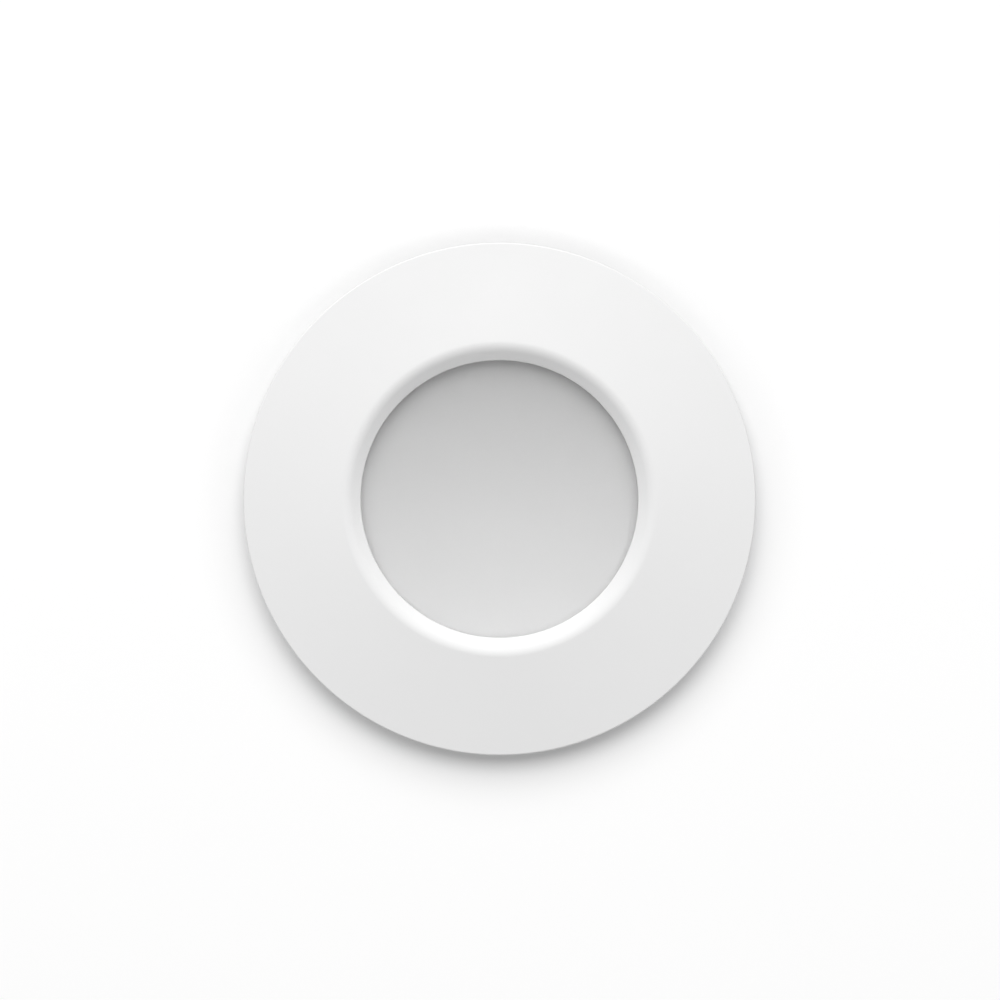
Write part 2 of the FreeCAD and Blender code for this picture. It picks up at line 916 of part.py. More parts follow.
def arm_trims(low, high):
    """Wedge on each side that narrows the arm towards its tip."""
    half = arm_width / 2
    tip = half * arm_taper_share
    end = arm_length + overrun
    trims = []
    for side in (-1, 1):
        wires = []
        for v in (low, high):
            points = [
                arm_point(arm_window_start, side * half, v),
                arm_point(end, side * tip, v),
                arm_point(end, side * (half + overrun), v),
                arm_point(arm_window_start, side * (half + overrun), v),
            ]
            wires.append(Part.makePolygon(points + points[:1]))
        trims.append(Part.makeLoft(wires, True, True))
    return trims


def clip_sleeve():
    """Soft sleeve pushed over the arm's tip, with a thicker rolled end."""
    mid = -arm_drop - arm_sheet / 2
    half_height = arm_sheet / 2 + sleeve_wall
    half_width = arm_width * arm_taper_share / 2 + sleeve_wall + sleeve_lip
    start = arm_length - sleeve_length
    end = arm_length + sleeve_wall
    body = prism([(x, z, r) for (x, z), r in [
        (on_arm(start, mid - half_height), sleeve_wall / 2),
        (on_arm(end, mid - half_height), sleeve_wall),
        (on_arm(end, mid + half_height), sleeve_wall),
        (on_arm(start, mid + half_height), sleeve_wall / 2),
    ]], -half_width, half_width, "y")
    pocket = arm_slab(start - overrun, arm_length, mid - arm_sheet / 2, mid + arm_sheet / 2,
                      arm_width / 2)
    return body.cut(pocket.cut(arm_trims(mid - arm_sheet, mid + arm_sheet)))


def clip_pin():
    half = arm_width / 2 + bracket_ear_gap + bracket_sheet
    ends = [Vec(clip_pivot_x, -half, clip_pivot_z), Vec(clip_pivot_x, half, clip_pivot_z)]
    head_step = Vec(0, clip_pin_head_height, 0)
    shank = rod(clip_pin_radius, ends[0], ends[1])
    heads = [
        rod(clip_pin_head, ends[0] - head_step, ends[0]),
        rod(clip_pin_head, ends[1], ends[1] + head_step),
    ]
    return fused([shank] + heads)


def rivet_spots():
    """Place of each rivet: the pad's face, its side, and the rivet's y and z."""
    z = bracket_top - rivet_inset
    for side in (1, -1):
        for y in (-rivet_spacing / 2, rivet_spacing / 2):
            yield side * clip_pad_x, side, y, z


def clip_bracket():
    low = floor_top + bracket_foot_gap
    inner = arm_width / 2 + bracket_ear_gap
    outer = inner + bracket_sheet
    front = clip_pad_x + bracket_sheet
    plate = block(clip_pad_x, front, -outer, outer, low, bracket_top)
    plate = rounded(plate, bracket_sheet * 2, lambda e: top_corner(e))
    parts = [plate]
    for y0, y1 in [(-outer, -inner), (inner, outer)]:
        near = Vec(clip_pivot_x, y0, clip_pivot_z)
        round_end = rod(bracket_ear_radius, near, near + Vec(0, bracket_sheet, 0))
        ear_low = clip_pivot_z - bracket_ear_radius
        ear_top = clip_pivot_z + bracket_ear_radius
        web = prism([
            (clip_pad_x, ear_low, 0),
            (clip_pivot_x, ear_low, 0),
            (clip_pivot_x, ear_top, 0),
            (clip_pad_x, ear_top + bracket_ear_radius, 0),
        ], y0, y1, "y")
        parts += [round_end, web]
    tab_top = clip_pivot_z - arm_drop - arm_sheet - bracket_tab_drop + bracket_sheet / 2
    tab_half = arm_width / 2 - arm_sheet
    parts.append(block(clip_pad_x, clip_pad_x + bracket_tab_reach, -tab_half, tab_half,
                       tab_top - bracket_sheet, tab_top))
    bracket = fused(parts)
    holes = [rod(clip_pin_radius + pin_play, Vec(clip_pivot_x, -outer - overrun, clip_pivot_z),
                 Vec(clip_pivot_x, outer + overrun, clip_pivot_z))]
    for x, side, y, z in rivet_spots():
        if side > 0:
            back = Vec(x - overrun, y, z)
            holes.append(rod(rivet_radius + pin_play, back, Vec(front + overrun, y, z)))
    return bracket.cut(holes)


def top_corner(edge):
    ends = [v.Point for v in edge.Vertexes]
    if len(ends) < 2 or ends[0].z < bracket_top - seat_play:
        return False
    return abs(ends[0].x - ends[1].x) > bracket_sheet / 2 and abs(ends[0].z - ends[1].z) == 0


def clip_rivets():
    rivets = []
    for x, side, y, z in rivet_spots():
        back = Vec(x - side * clip_pad_wall, y, z)
        seat = Vec(x + side * bracket_sheet, y, z)
        tip = seat + Vec(side * rivet_head_height, 0, 0)
        rivets.append(fused([rod(rivet_radius, back, seat), rod(rivet_head, seat, tip)]))
    return rivets


def spring_line():
    """Points and ways along the clip spring, from the arm's leg to the foot on the bracket."""
    first = 270.0 - clip_droop_angle
    last = 180.0 + spring_foot_angle - 360.0 * spring_turns
    steps = 4 * spring_turns + 1
    turns = (first - last) / 360
    ramp = turns / steps
    span = spring_pitch * (turns - ramp)
    line = []
    for i in range(steps + 1):
        angle = math.radians(first + (last - first) * i / steps)
        rate = 1 if 0 < i < steps else 0
        travel = spring_pitch * max(0.0, min(turns * i / steps - ramp / 2, turns - ramp))
        point = Vec(clip_pivot_x + spring_radius * math.cos(angle), span / 2 - travel,
                    clip_pivot_z + spring_radius * math.sin(angle))
        climb = 2 * math.pi * spring_radius
        way = Vec(climb * math.sin(angle), -spring_pitch * rate, -climb * math.cos(angle)).normalize()
        line.append((point, way))
    return line


def clip_spring():
    line = spring_line()
    start, start_way = line[0]
    end, end_way = line[-1]
    edges = [Part.LineSegment(start - start_way * spring_leg, start).toShape()]
    for (a, a_way), (b, b_way) in zip(line, line[1:]):
        edges += biarc(a, a_way, b, b_way)
    edges.append(Part.LineSegment(end, end + end_way * spring_foot).toShape())
    print("spring's least gap to itself:", round(least_gap(edges, spring_wire), 3))
    return swept(edges, spring_wire / 2)


def least_gap(edges, diameter):
    """Least gap between a wound wire's turns, from points along its line."""
    points = []
    travel = 0.0
    for edge in edges:
        for p in edge.discretize(8)[:-1]:
            if points:
                travel += (p - points[-1][0]).Length
            points.append((p, travel))
    gaps = [
        (a - b).Length - diameter
        for a, at in points for b, bt in points if bt - at > math.pi * diameter
    ]
    return min(gaps)


# The driver housing and its covers

def housing_hollow(low, high):
    inner = drum(housing_radius - housing_wall, housing_flat - housing_wall, low, high,
                 housing_corner_round - housing_wall)
    wall = block(-housing_radius, housing_radius, partition_y, partition_front,
                 low - overrun, high + overrun)
    return inner.cut(wall)


def driver_housing():
    shell = drum(housing_radius, housing_flat, housing_base, wall_top, housing_corner_round)
    foot_edges = [e for e in shell.Edges if at_height(housing_base)(e)]
    shell = shell.makeChamfer(housing_foot_bevel, foot_edges)
    shell = shell.cut(housing_hollow(housing_inside, wall_top + overrun))
    added = [driver_post(x, y) for x, y in post_spots()]
    for x in (-lid_screw_x, lid_screw_x):
        added.append(lid_boss(x))
    added += side_ribs() + hinge_posts() + clamp_posts() + [cable_collar(), latch_ledge_bar()]
    shell = fused([shell] + added)
    under = housing_base - overrun
    through = housing_floor + 2 * overrun
    cuts = [
        Part.makeCylinder(housing_hole_radius, through, Vec(0, 0, under)),
        rod(cable_radius, Vec(0, collar_inner_end() - overrun, cable_z),
            Vec(0, housing_radius + collar_outer_reach + overrun, cable_z)),
        hinge_bore(),
        cover_relief(),
    ]
    for x, y in housing_screw_spots():
        cuts.append(Part.makeCylinder(housing_screw_radius + seat_play, through, Vec(x, y, under)))
    for x in (-lid_screw_x, lid_screw_x):
        cuts.append(Part.makeCylinder(lid_screw_radius + pin_play, lid_screw_grip + overrun,
                                      Vec(x, lid_screw_y, wall_top - lid_screw_grip)))
    for x in (-clamp_post_x, clamp_post_x):
        cuts.append(Part.makeCylinder(clamp_screw_radius + pin_play, clamp_screw_grip + overrun,
                                      Vec(x, clamp_y, clamp_seat() - clamp_screw_grip)))
    for x in pole_spots():
        half = tail_width / 2 + seat_play
        cuts.append(block(x - half, x + half, partition_y - overrun, partition_front + overrun,
                          tail_low() - seat_play, tail_low() + tail_thickness + seat_play))
    return shell.cut(cuts)


def post_spots():
    x = driver_board_half_width - post_inset
    for side in (-1, 1):
        for y in (driver_board_back + post_inset, driver_board_front - post_inset):
            yield side * x, y


def driver_post(x, y):
    """Post under a corner of the driver board, with the peg that holds the board."""
    foot = housing_inside - housing_floor / 2
    post = Part.makeCylinder(post_radius, driver_board_bottom - foot, Vec(x, y, foot))
    peg_length = driver_board_thickness + peg_height
    peg = Part.makeCylinder(peg_radius, peg_length, Vec(x, y, driver_board_bottom))
    return post.fuse(peg)


def lid_boss(x):
    foot = housing_inside - housing_floor / 2
    boss = Part.makeCylinder(lid_boss_radius, wall_top - foot, Vec(x, lid_screw_y, foot))
    side = 1 if x > 0 else -1
    wall = side * (housing_flat - housing_wall / 2)
    half = housing_wall / 2
    web = block(min(x, wall), max(x, wall), lid_screw_y - half, lid_screw_y + half, foot, wall_top)
    return boss.fuse(web)


def side_ribs():
    """Low upright ribs on the round back of the housing, as a finger grip."""
    ribs = []
    for i in range(rib_count):
        x = (i - (rib_count - 1) / 2) * rib_spacing
        back = math.sqrt(housing_radius ** 2 - x ** 2)
        rib = prism([
            (x - rib_width / 2, -back + housing_wall / 2, 0),
            (x - rib_width / 4, -back - rib_height, 0),
            (x + rib_width / 4, -back - rib_height, 0),
            (x + rib_width / 2, -back + housing_wall / 2, 0),
        ], housing_base + rib_margin, wall_top - rib_margin)
        ribs.append(rib)
    return ribs


def hinge_posts():
    """Knuckle and web at each end of the hinge, fused to the wall and the partition."""
    posts = []
    for side in (-1, 1):
        inner_end = side * (knuckle_half_width + knuckle_side_gap)
        ends = sorted([inner_end, side * (housing_flat - housing_wall / 2)])
        knuckle = rod(knuckle_radius, Vec(ends[0], hinge_y, hinge_z), Vec(ends[1], hinge_y, hinge_z))
        web = prism([
            (partition_front - housing_wall / 2, wall_top, 0),
            (hinge_y - knuckle_radius, wall_top, 0),
            (hinge_y - knuckle_radius, hinge_z, 0),
            (hinge_y + knuckle_radius, hinge_z, 0),
            (hinge_y + knuckle_radius, hinge_z - knuckle_radius, 0),
            (partition_front - housing_wall / 2, hinge_z - 4 * knuckle_radius, 0),
        ], ends[0], ends[1], "x")
        posts += [knuckle, web]
    return posts


def hinge_bore():
    half = housing_flat + overrun
    return rod(hinge_pin_radius + pin_play, Vec(-half, hinge_y, hinge_z), Vec(half, hinge_y, hinge_z))


def cover_relief():
    """Room in the partition's top for the cover's long knuckle to turn in."""
    half = knuckle_half_width + knuckle_side_gap
    room = knuckle_radius + cover_gap + slide_play
    return rod(room, Vec(-half, hinge_y, hinge_z), Vec(half, hinge_y, hinge_z))


def cover_hinge_pin():
    half = housing_flat - slide_play
    return rod(hinge_pin_radius, Vec(-half, hinge_y, hinge_z), Vec(half, hinge_y, hinge_z))


def clamp_seat():
    """Top of the clamp's posts, which is the crown of the cable less the groove in the bar."""
    return cable_z + cable_radius - clamp_groove


def clamp_posts():
    foot = housing_inside - housing_floor / 2
    posts = [
        Part.makeCylinder(clamp_post_radius, clamp_seat() - foot, Vec(x, clamp_y, foot))
        for x in (-clamp_post_x, clamp_post_x)
    ]
    half = saddle_wall / 2
    saddle = block(-saddle_half_width, saddle_half_width, clamp_y - half, clamp_y + half,
                   foot, cable_z - cable_radius + clamp_groove)
    groove = rod(cable_radius + seat_play, Vec(0, clamp_y - saddle_wall, cable_z),
                 Vec(0, clamp_y + saddle_wall, cable_z))
    return posts + [saddle.cut(groove)]


def collar_inner_end():
    return housing_radius - housing_wall - collar_inner_reach


def cable_collar():
    end = housing_radius + collar_outer_reach
    return rod(cable_radius + collar_wall, Vec(0, collar_inner_end(), cable_z), Vec(0, end, cable_z))


def latch_height():
    """Underside of the ledge that the cover's latch hooks under."""
    return wall_top - latch_drop + latch_nib_height + latch_play + seat_play


def latch_ledge_bar():
    half = latch_half_width - latch_nib
    return block(-half, half, housing_radius - housing_wall / 2, housing_radius + latch_ledge,
                 latch_height(), latch_height() + latch_ledge_height)


def lid_plate(low, high, radius, flat, rounding):
    """The drum's outline up to the hinge, on the driver's side."""
    plate = drum(radius, flat, low, high, rounding)
    edge = hinge_y - knuckle_radius - lid_hinge_gap
    return plate.common(block(-radius, radius, -radius - overrun, edge, low, high))


def driver_lid():
    plate = lid_plate(wall_top, plate_top, housing_radius, housing_flat, housing_corner_round)
    plate = rounded(plate, plate_edge_round, at_height(plate_top))
    room = 2 * seat_play
    outer = drum(housing_radius - housing_wall - room, housing_flat - housing_wall - room,
                 wall_top - plate_lip, wall_top + plate_edge_round, housing_corner_round - housing_wall)
    thin = room + plate_lip_wall
    inner = drum(housing_radius - housing_wall - thin, housing_flat - housing_wall - thin,
                 wall_top - plate_lip - overrun, wall_top, housing_corner_round - housing_wall)
    front = partition_y - room
    outer = outer.common(block(-housing_radius, housing_radius, -housing_radius, front,
                               wall_top - plate_lip, wall_top + plate_edge_round))
    under = wall_top - plate_lip - overrun
    lip = outer.cut(inner.common(block(-housing_radius, housing_radius, -housing_radius,
                                       front - plate_lip_wall, under, wall_top)))
    gaps = [
        Part.makeCylinder(lid_boss_radius + room, plate_lip + overrun, Vec(x, lid_screw_y, under))
        for x in (-lid_screw_x, lid_screw_x)
    ]
    webs = [
        block(min(x, 2 * x), max(x, 2 * x), lid_screw_y - housing_wall, lid_screw_y + housing_wall,
              under, wall_top)
        for x in (-lid_screw_x, lid_screw_x)
    ]
    lid = fused([plate, lip.cut(gaps + webs)])
    holes = [
        Part.makeCylinder(lid_screw_radius + seat_play, plate_thickness + 2 * overrun,
                          Vec(x, lid_screw_y, wall_top - overrun))
        for x in (-lid_screw_x, lid_screw_x)
    ]
    return lid.cut(holes)


def terminal_cover():
    low = wall_top + cover_gap
    edge = hinge_y + hinge_corner_gap
    plate = drum(housing_radius, housing_flat, low, plate_top, housing_corner_round)
    plate = plate.common(block(-housing_radius, housing_radius, edge, housing_radius + overrun,
                               low, plate_top))
    on_top = at_height(plate_top)
    plate = rounded(plate, plate_edge_round, lambda e: on_top(e) and e.BoundBox.YMax > edge + seat_play)
    half = knuckle_half_width
    tongue = block(-half, half, hinge_y, edge + plate_edge_round, low, plate_top)
    knuckle = rod(knuckle_radius, Vec(-half, hinge_y, hinge_z), Vec(half, hinge_y, hinge_z))
    room = 2 * seat_play
    lip = drum(housing_radius - housing_wall - room, housing_flat - housing_wall - room,
               wall_top - plate_lip, low + plate_edge_round, housing_corner_round - housing_wall)
    thin = room + plate_lip_wall
    lip = lip.cut(drum(housing_radius - housing_wall - thin, housing_flat - housing_wall - thin,
                       wall_top - plate_lip - overrun, low, housing_corner_round - housing_wall))
    lip_start = edge + plate_lip
    lip = lip.common(block(-housing_radius, housing_radius, lip_start, housing_radius,
                           wall_top - plate_lip, low + plate_edge_round))
    cover = fused([plate, tongue, knuckle, lip] + cover_latch(low))
    return cover.cut(hinge_bore())


def cover_latch(low):
    """Springy tongue outside the wall, with the nib that catches under the ledge."""
    bottom = wall_top - latch_drop
    half = latch_half_width
    bridge = block(-half, half, housing_radius - housing_wall, latch_y + latch_thickness / 2,
                   low, plate_top - plate_edge_round)
    tongue = prism([
        (latch_y, bottom, latch_thickness / 4),
        (latch_y + latch_thickness, bottom, latch_thickness / 4),
        (latch_y + latch_thickness, plate_top - plate_edge_round, plate_edge_round),
        (latch_y, plate_top - plate_edge_round, 0),
    ], -half, half, "x")
    nib_half = half - latch_nib
    nib = prism([
        (latch_y + latch_thickness / 2, bottom + latch_play, 0),
        (latch_y, bottom + latch_play, 0),
        (latch_y - latch_nib, bottom + latch_play + latch_nib, 0),
        (latch_y - latch_nib, bottom + latch_play + latch_nib_height, 0),
        (latch_y + latch_thickness / 2, bottom + latch_play + latch_nib_height, 0),
    ], -nib_half, nib_half, "x")
    return [bridge, tongue, nib]


def lid_screws():
    one = screw(lid_screw_radius, lid_screw_head, lid_screw_head_height,
                plate_thickness + lid_screw_grip - seat_play)
    return [moved(one, x, lid_screw_y, plate_top) for x in (-lid_screw_x, lid_screw_x)]


def housing_screws():
    one = screw(housing_screw_radius, housing_screw_head, housing_screw_head_height,
                housing_floor + housing_screw_grip)
    return [moved(one, x, y, housing_inside) for x, y in housing_screw_spots()]


# The driver board

def on_board(shares):
    """Place on the driver board from its shares of the board's half width."""
    return shares[0] * driver_board_half_width, shares[1] * driver_board_half_width


def driver_board():
    half = driver_board_half_width
    board = prism([
        (-half, driver_board_back, driver_board_round),
        (half, driver_board_back, driver_board_round),
        (half, driver_board_front, driver_board_round),
        (-half, driver_board_front, driver_board_round),
    ], driver_board_bottom, driver_board_top)
    tall = driver_board_thickness + 2 * overrun
    holes = [
        Part.makeCylinder(peg_radius + pin_play, tall, Vec(x, y, driver_board_bottom - overrun))
        for x, y in post_spots()
    ]
    return board.cut(holes)


def transformer_core():
    """Two E shaped ferrite halves, met as one core with a window on each side of the middle leg."""
    half = driver_board_half_width * transformer_length_share / 2
    transformer_leg = driver_board_half_width * transformer_leg_share
    low = driver_board_top + coil_bulge
    core = block(-half, half, -transformer_leg, transformer_leg,
                 low, low + transformer_height - transformer_leg / 2)
    span = half - transformer_leg
    windows = []
    for x0, x1 in [(-span, -transformer_leg / 2), (transformer_leg / 2, span)]:
        windows.append(block(x0, x1, -transformer_leg - overrun, transformer_leg + overrun,
                             low + transformer_leg / 2, low + transformer_height - transformer_leg))
    return moved(core.cut(windows), *on_board(transformer_shares), 0)


def transformer_coil():
    """The winding on its former, which fills both windows and bulges out in front and behind."""
    transformer_leg = driver_board_half_width * transformer_leg_share
    low = driver_board_top + coil_bulge + transformer_leg / 2
    high = low + transformer_height - 1.5 * transformer_leg
    half = driver_board_half_width * transformer_length_share / 2 - transformer_leg - seat_play
    deep = driver_board_half_width * transformer_width_share / 2
    coil = prism([
        (-half, -deep, coil_bulge),
        (half, -deep, coil_bulge),
        (half, deep, coil_bulge),
        (-half, deep, coil_bulge),
    ], low + seat_play, high - seat_play)
    leg = transformer_leg / 2 + seat_play
    slot = block(-leg, leg, -transformer_leg - seat_play, transformer_leg + seat_play, low, high)
    feet = []
    for side in (-1, 1):
        y = side * (transformer_leg + seat_play + (deep - transformer_leg) / 2)
        feet.append(block(-half / 2, half / 2, y - coil_bulge / 2, y + coil_bulge / 2,
                          driver_board_top, low + 2 * seat_play))
    return moved(fused([coil.cut(slot)] + feet), *on_board(transformer_shares), 0)


def capacitors():
    capacitor_radius = driver_board_half_width * capacitor_radius_share
    can = turned([
        (0, 0, 0),
        (capacitor_radius, 0, 0),
        (capacitor_radius, capacitor_radius / 2, 0),
        (capacitor_radius - capacitor_groove, capacitor_radius / 2 + capacitor_groove, 0),
        (capacitor_radius, capacitor_radius / 2 + 2 * capacitor_groove, 0),
        (capacitor_radius, capacitor_height - capacitor_groove, 0),
        (capacitor_radius - capacitor_groove, capacitor_height, 0),
        (0, capacitor_height, 0),
    ])
    return [moved(can, *on_board(shares), driver_board_top) for shares in capacitor_shares]


def film_capacitor():
    long = driver_board_half_width * film_length_share / 2
    deep = driver_board_half_width * film_width_share / 2
    body = prism([
        (-long, -deep, film_round),
        (long, -deep, film_round),
        (long, deep, film_round),
        (-long, deep, film_round),
    ], driver_board_top, driver_board_top + film_height)
    return moved(body, *on_board(film_shares), 0)


def choke():
    choke_radius = driver_board_half_width * choke_radius_share
    waist = choke_radius - choke_waist
    drum_core = turned([
        (0, 0, 0),
        (choke_radius, 0, 0),
        (choke_radius, choke_flange, 0),
        (waist, choke_flange, 0),
        (waist, choke_height - choke_flange, 0),
        (choke_radius, choke_height - choke_flange, 0),
        (choke_radius, choke_height, 0),
        (0, choke_height, 0),
    ])
    return moved(drum_core, *on_board(choke_shares), driver_board_top)


def driver_chips():
    half_length = driver_board_half_width * chip_package_length_share / 2
    half_width = driver_board_half_width * chip_package_width_share / 2
    return [
        block(x - half_length, x + half_length, y - half_width, y + half_width,
              driver_board_top, driver_board_top + chip_package_height)
        for x, y in map(on_board, chip_shares)
    ]


def fuse_link():
    half = driver_board_half_width * fuse_length_share / 2
    x, y = on_board(fuse_shares)
    left = Vec(x - half, y, driver_board_top + fuse_radius)
    right = left + Vec(2 * half, 0, 0)
    cap = Vec(fuse_cap, 0, 0)
    body = rod(fuse_radius - seat_play, left, right)
    caps = [rod(fuse_radius, left, left + cap), rod(fuse_radius, right - cap, right)]
    return fused([body] + caps)


# The terminal block

def pole_spots():
    return [(i - (pole_count - 1) / 2) * pole_pitch for i in range(pole_count)]


def tail_low():
    return driver_board_top + slide_play


def cage_low():
    return housing_inside + cage_lift


def button_low():
    return block_top - button_lip - slide_play - button_shoulder_height


def terminal_block():
    half = block_width / 2
    front = block_y + block_depth
    body = prism([
        (-half, block_y, block_round),
        (half, block_y, block_round),
        (half, front, block_round),
        (-half, front, block_round),
    ], housing_inside, block_top)
    cuts = []
    for x in pole_spots():
        cage_half = cage_width / 2 + slide_play
        cage_top = cage_low() + cage_height + slide_play
        cuts.append(block(x - cage_half, x + cage_half, front - entry_depth - cage_depth - 2 * slide_play,
                          front - entry_depth, cage_low() - slide_play, cage_top))
        entry = Vec(x, front - entry_depth - overrun / 2, housing_inside + entry_height)
        cuts.append(rod(entry_radius, entry, Vec(x, front + overrun, entry.z)))
        funnel = Part.makeCone(entry_radius, entry_radius + entry_funnel, entry_funnel,
                               Vec(x, front - entry_funnel, entry.z), Vec(0, 1, 0))
        cuts.append(funnel)
        tail_half = tail_width / 2 + slide_play
        cuts.append(block(x - tail_half, x + tail_half, block_y - overrun,
                          front - entry_depth - overrun,
                          tail_low() - slide_play, tail_low() + tail_thickness + slide_play))
        cuts += button_shaft(x)
    return body.cut(cuts)


def button_shaft(x):
    """Slot in the block's top and the wider room below it, where the button's shoulder travels."""
    y = block_y + button_y
    half_width = button_width / 2 + slide_play
    half_depth = button_depth / 2 + slide_play
    room = half_width + button_shoulder
    floor = button_low() - button_travel - slide_play
    slot = block(x - half_width, x + half_width, y - half_depth, y + half_depth,
                 block_top - button_lip - overrun, block_top + overrun)
    under = block(x - room, x + room, y - half_depth, y + half_depth, floor, block_top - button_lip)
    return [slot, under]


def release_button(x):
    y = block_y + button_y
    half_width = button_width / 2
    half_depth = button_depth / 2
    low = button_low()
    shoulder = block(x - half_width - button_shoulder, x + half_width + button_shoulder,
                     y - half_depth, y + half_depth, low, low + button_shoulder_height)
    stem = prism([
        (x - half_width, low, 0),
        (x + half_width, low, 0),
        (x + half_width, block_top + button_rise, button_round),
        (x - half_width, block_top + button_rise, button_round),
    ], y - half_depth, y + half_depth, "y")
    return fused([shoulder, stem])


def terminal_contacts():
    """A sprung brass cage for each wire, with the tail that reaches the driver board."""
    contacts = []
    front = block_y + block_depth
    back = front - entry_depth - cage_depth - slide_play
    for x in pole_spots():
        half = cage_width / 2
        low = cage_low()
        high = low + cage_height
        cage = block(x - half, x + half, back, front - entry_depth - slide_play, low, high)
        inner = block(x - half + cage_sheet, x + half - cage_sheet, back - overrun,
                      front - entry_depth + overrun, low + cage_sheet, high - cage_sheet)
        tail_half = tail_width / 2
        tail_high = tail_low() + tail_thickness
        tail = block(x - tail_half, x + tail_half, partition_y - tail_reach, back + cage_sheet * 2,
                     tail_low(), tail_high)
        link = block(x - tail_half, x + tail_half, back, back + cage_sheet * 2,
                     min(high - cage_sheet, tail_low()), max(high, tail_high))
        contacts.append(fused([cage.cut(inner), tail, link]))
    return contacts


def cord_clamp():
    """Bar that presses the cable into its saddle, with a shallow groove along its underside."""
    half = clamp_post_x + clamp_post_radius
    low = clamp_seat()
    bar = prism([
        (-half, clamp_y - clamp_bar_width / 2, clamp_bar_round),
        (half, clamp_y - clamp_bar_width / 2, clamp_bar_round),
        (half, clamp_y + clamp_bar_width / 2, clamp_bar_round),
        (-half, clamp_y + clamp_bar_width / 2, clamp_bar_round),
    ], low, low + clamp_bar_thickness)
    cuts = [rod(cable_radius + seat_play, Vec(0, clamp_y - clamp_bar_width, cable_z),
                Vec(0, clamp_y + clamp_bar_width, cable_z))]
    for x in (-clamp_post_x, clamp_post_x):
        cuts.append(Part.makeCylinder(clamp_screw_radius + seat_play, clamp_bar_thickness + 2 * overrun,
                                      Vec(x, clamp_y, low - overrun)))
    return bar.cut(cuts)


def cord_clamp_screws():
    one = screw(clamp_screw_radius, clamp_screw_head, clamp_screw_head_height,
                clamp_bar_thickness + clamp_screw_grip - seat_play)
    seat = clamp_seat() + clamp_bar_thickness
    return [moved(one, x, clamp_y, seat) for x in (-clamp_post_x, clamp_post_x)]


# Making the pieces

pieces = {
    "bezel": bezel,
    "ceiling_gasket": ceiling_gasket,
    "heat_sink": heat_sink,
    "lens_ring": lens_ring,
    "diffuser": diffuser,
    "lens_seal": lens_seal,
    "reflector": reflector,
    "led_board": led_board,
    "led_chips": led_chips,
    "thermal_pad": thermal_pad,
    "led_board_screws": led_board_screws,
    "led_leads": led_leads,
    "wire_grommet": wire_grommet,
    "clip_rivets": clip_rivets,
    "driver_housing": driver_housing,
    "housing_screws": housing_screws,
    "driver_board": driver_board,
    "transformer_core": transformer_core,
    "transformer_coil": transformer_coil,
    "capacitors": capacitors,
    "film_capacitor": film_capacitor,
    "choke": choke,
    "driver_chips": driver_chips,
    "fuse": fuse_link,
    "driver_lid": driver_lid,
    "lid_screws": lid_screws,
    "terminal_block": terminal_block,
    "terminal_contacts": terminal_contacts,
    "cord_clamp": cord_clamp,
    "cord_clamp_screws": cord_clamp_screws,
    "terminal_cover": terminal_cover,
    "cover_hinge_pin": cover_hinge_pin,
}

clip_pieces = {
    "clip_arm": clip_arm,
    "clip_sleeve": clip_sleeve,
    "clip_pin": clip_pin,
    "clip_bracket": clip_bracket,
    "clip_spring": clip_spring,
}

os.makedirs("parts", exist_ok=True)


def save(name, made):
    """One STEP file for each node. A node of several loose solids is a compound."""
    shape = Part.makeCompound(made) if isinstance(made, list) else made
    solids = shape.Solids
    sound = all(s.isValid() and s.Volume > 0 for s in solids)
    print(name, len(solids), "solids", round(shape.Volume, 2), "mm3", "sound" if sound else "NOT SOUND")
    if len(solids) == 1:
        shape = solids[0]
    shape.exportStep("parts/" + name + ".step")


for name, make in pieces.items():
    save(name, make())

for name, make in clip_pieces.items():
    right = make()
    save("right_" + name, right)
    save("left_" + name, turned_to(right, 180))

for name, x in zip(("first", "second", "third"), pole_spots()):
    save(name + "_release_button", release_button(x))
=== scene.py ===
# %% [markdown]
# # A small recessed ceiling light, dressed in Blender
#
# The object is a round light for a plasterboard ceiling. From below it is a plain white ring with
# a frosted dish set into it. Above the ceiling are a finned can, two sprung clips and a driver
# housing. Each CAD piece comes in at its real size, in metres, with +Z up into the ceiling. This
# file gives the pieces their finishes, and remakes a few of them with finer curves than the CAD
# meshes have.

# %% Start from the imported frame
import math

import bmesh
import bpy
from mathutils import Matrix, Vector
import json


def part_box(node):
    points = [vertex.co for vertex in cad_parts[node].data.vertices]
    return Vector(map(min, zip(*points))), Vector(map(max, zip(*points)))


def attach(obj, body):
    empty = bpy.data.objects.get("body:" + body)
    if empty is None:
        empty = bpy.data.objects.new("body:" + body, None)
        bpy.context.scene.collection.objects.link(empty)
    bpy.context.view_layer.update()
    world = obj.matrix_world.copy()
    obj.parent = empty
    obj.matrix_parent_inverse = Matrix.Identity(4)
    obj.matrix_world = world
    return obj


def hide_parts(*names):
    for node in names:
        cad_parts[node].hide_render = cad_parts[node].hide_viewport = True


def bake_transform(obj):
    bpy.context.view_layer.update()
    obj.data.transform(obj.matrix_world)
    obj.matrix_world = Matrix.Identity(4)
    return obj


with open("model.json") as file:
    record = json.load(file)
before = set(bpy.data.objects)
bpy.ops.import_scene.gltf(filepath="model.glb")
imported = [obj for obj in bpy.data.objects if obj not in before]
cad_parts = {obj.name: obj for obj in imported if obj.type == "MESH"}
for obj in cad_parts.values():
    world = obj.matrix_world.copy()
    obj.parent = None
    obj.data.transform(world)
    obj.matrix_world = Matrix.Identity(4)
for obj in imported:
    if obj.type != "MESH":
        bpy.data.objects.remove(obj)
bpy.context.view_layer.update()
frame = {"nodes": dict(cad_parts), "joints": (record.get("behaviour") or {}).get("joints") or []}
nodes = frame["nodes"]
print("pieces in the frame:", len(nodes))

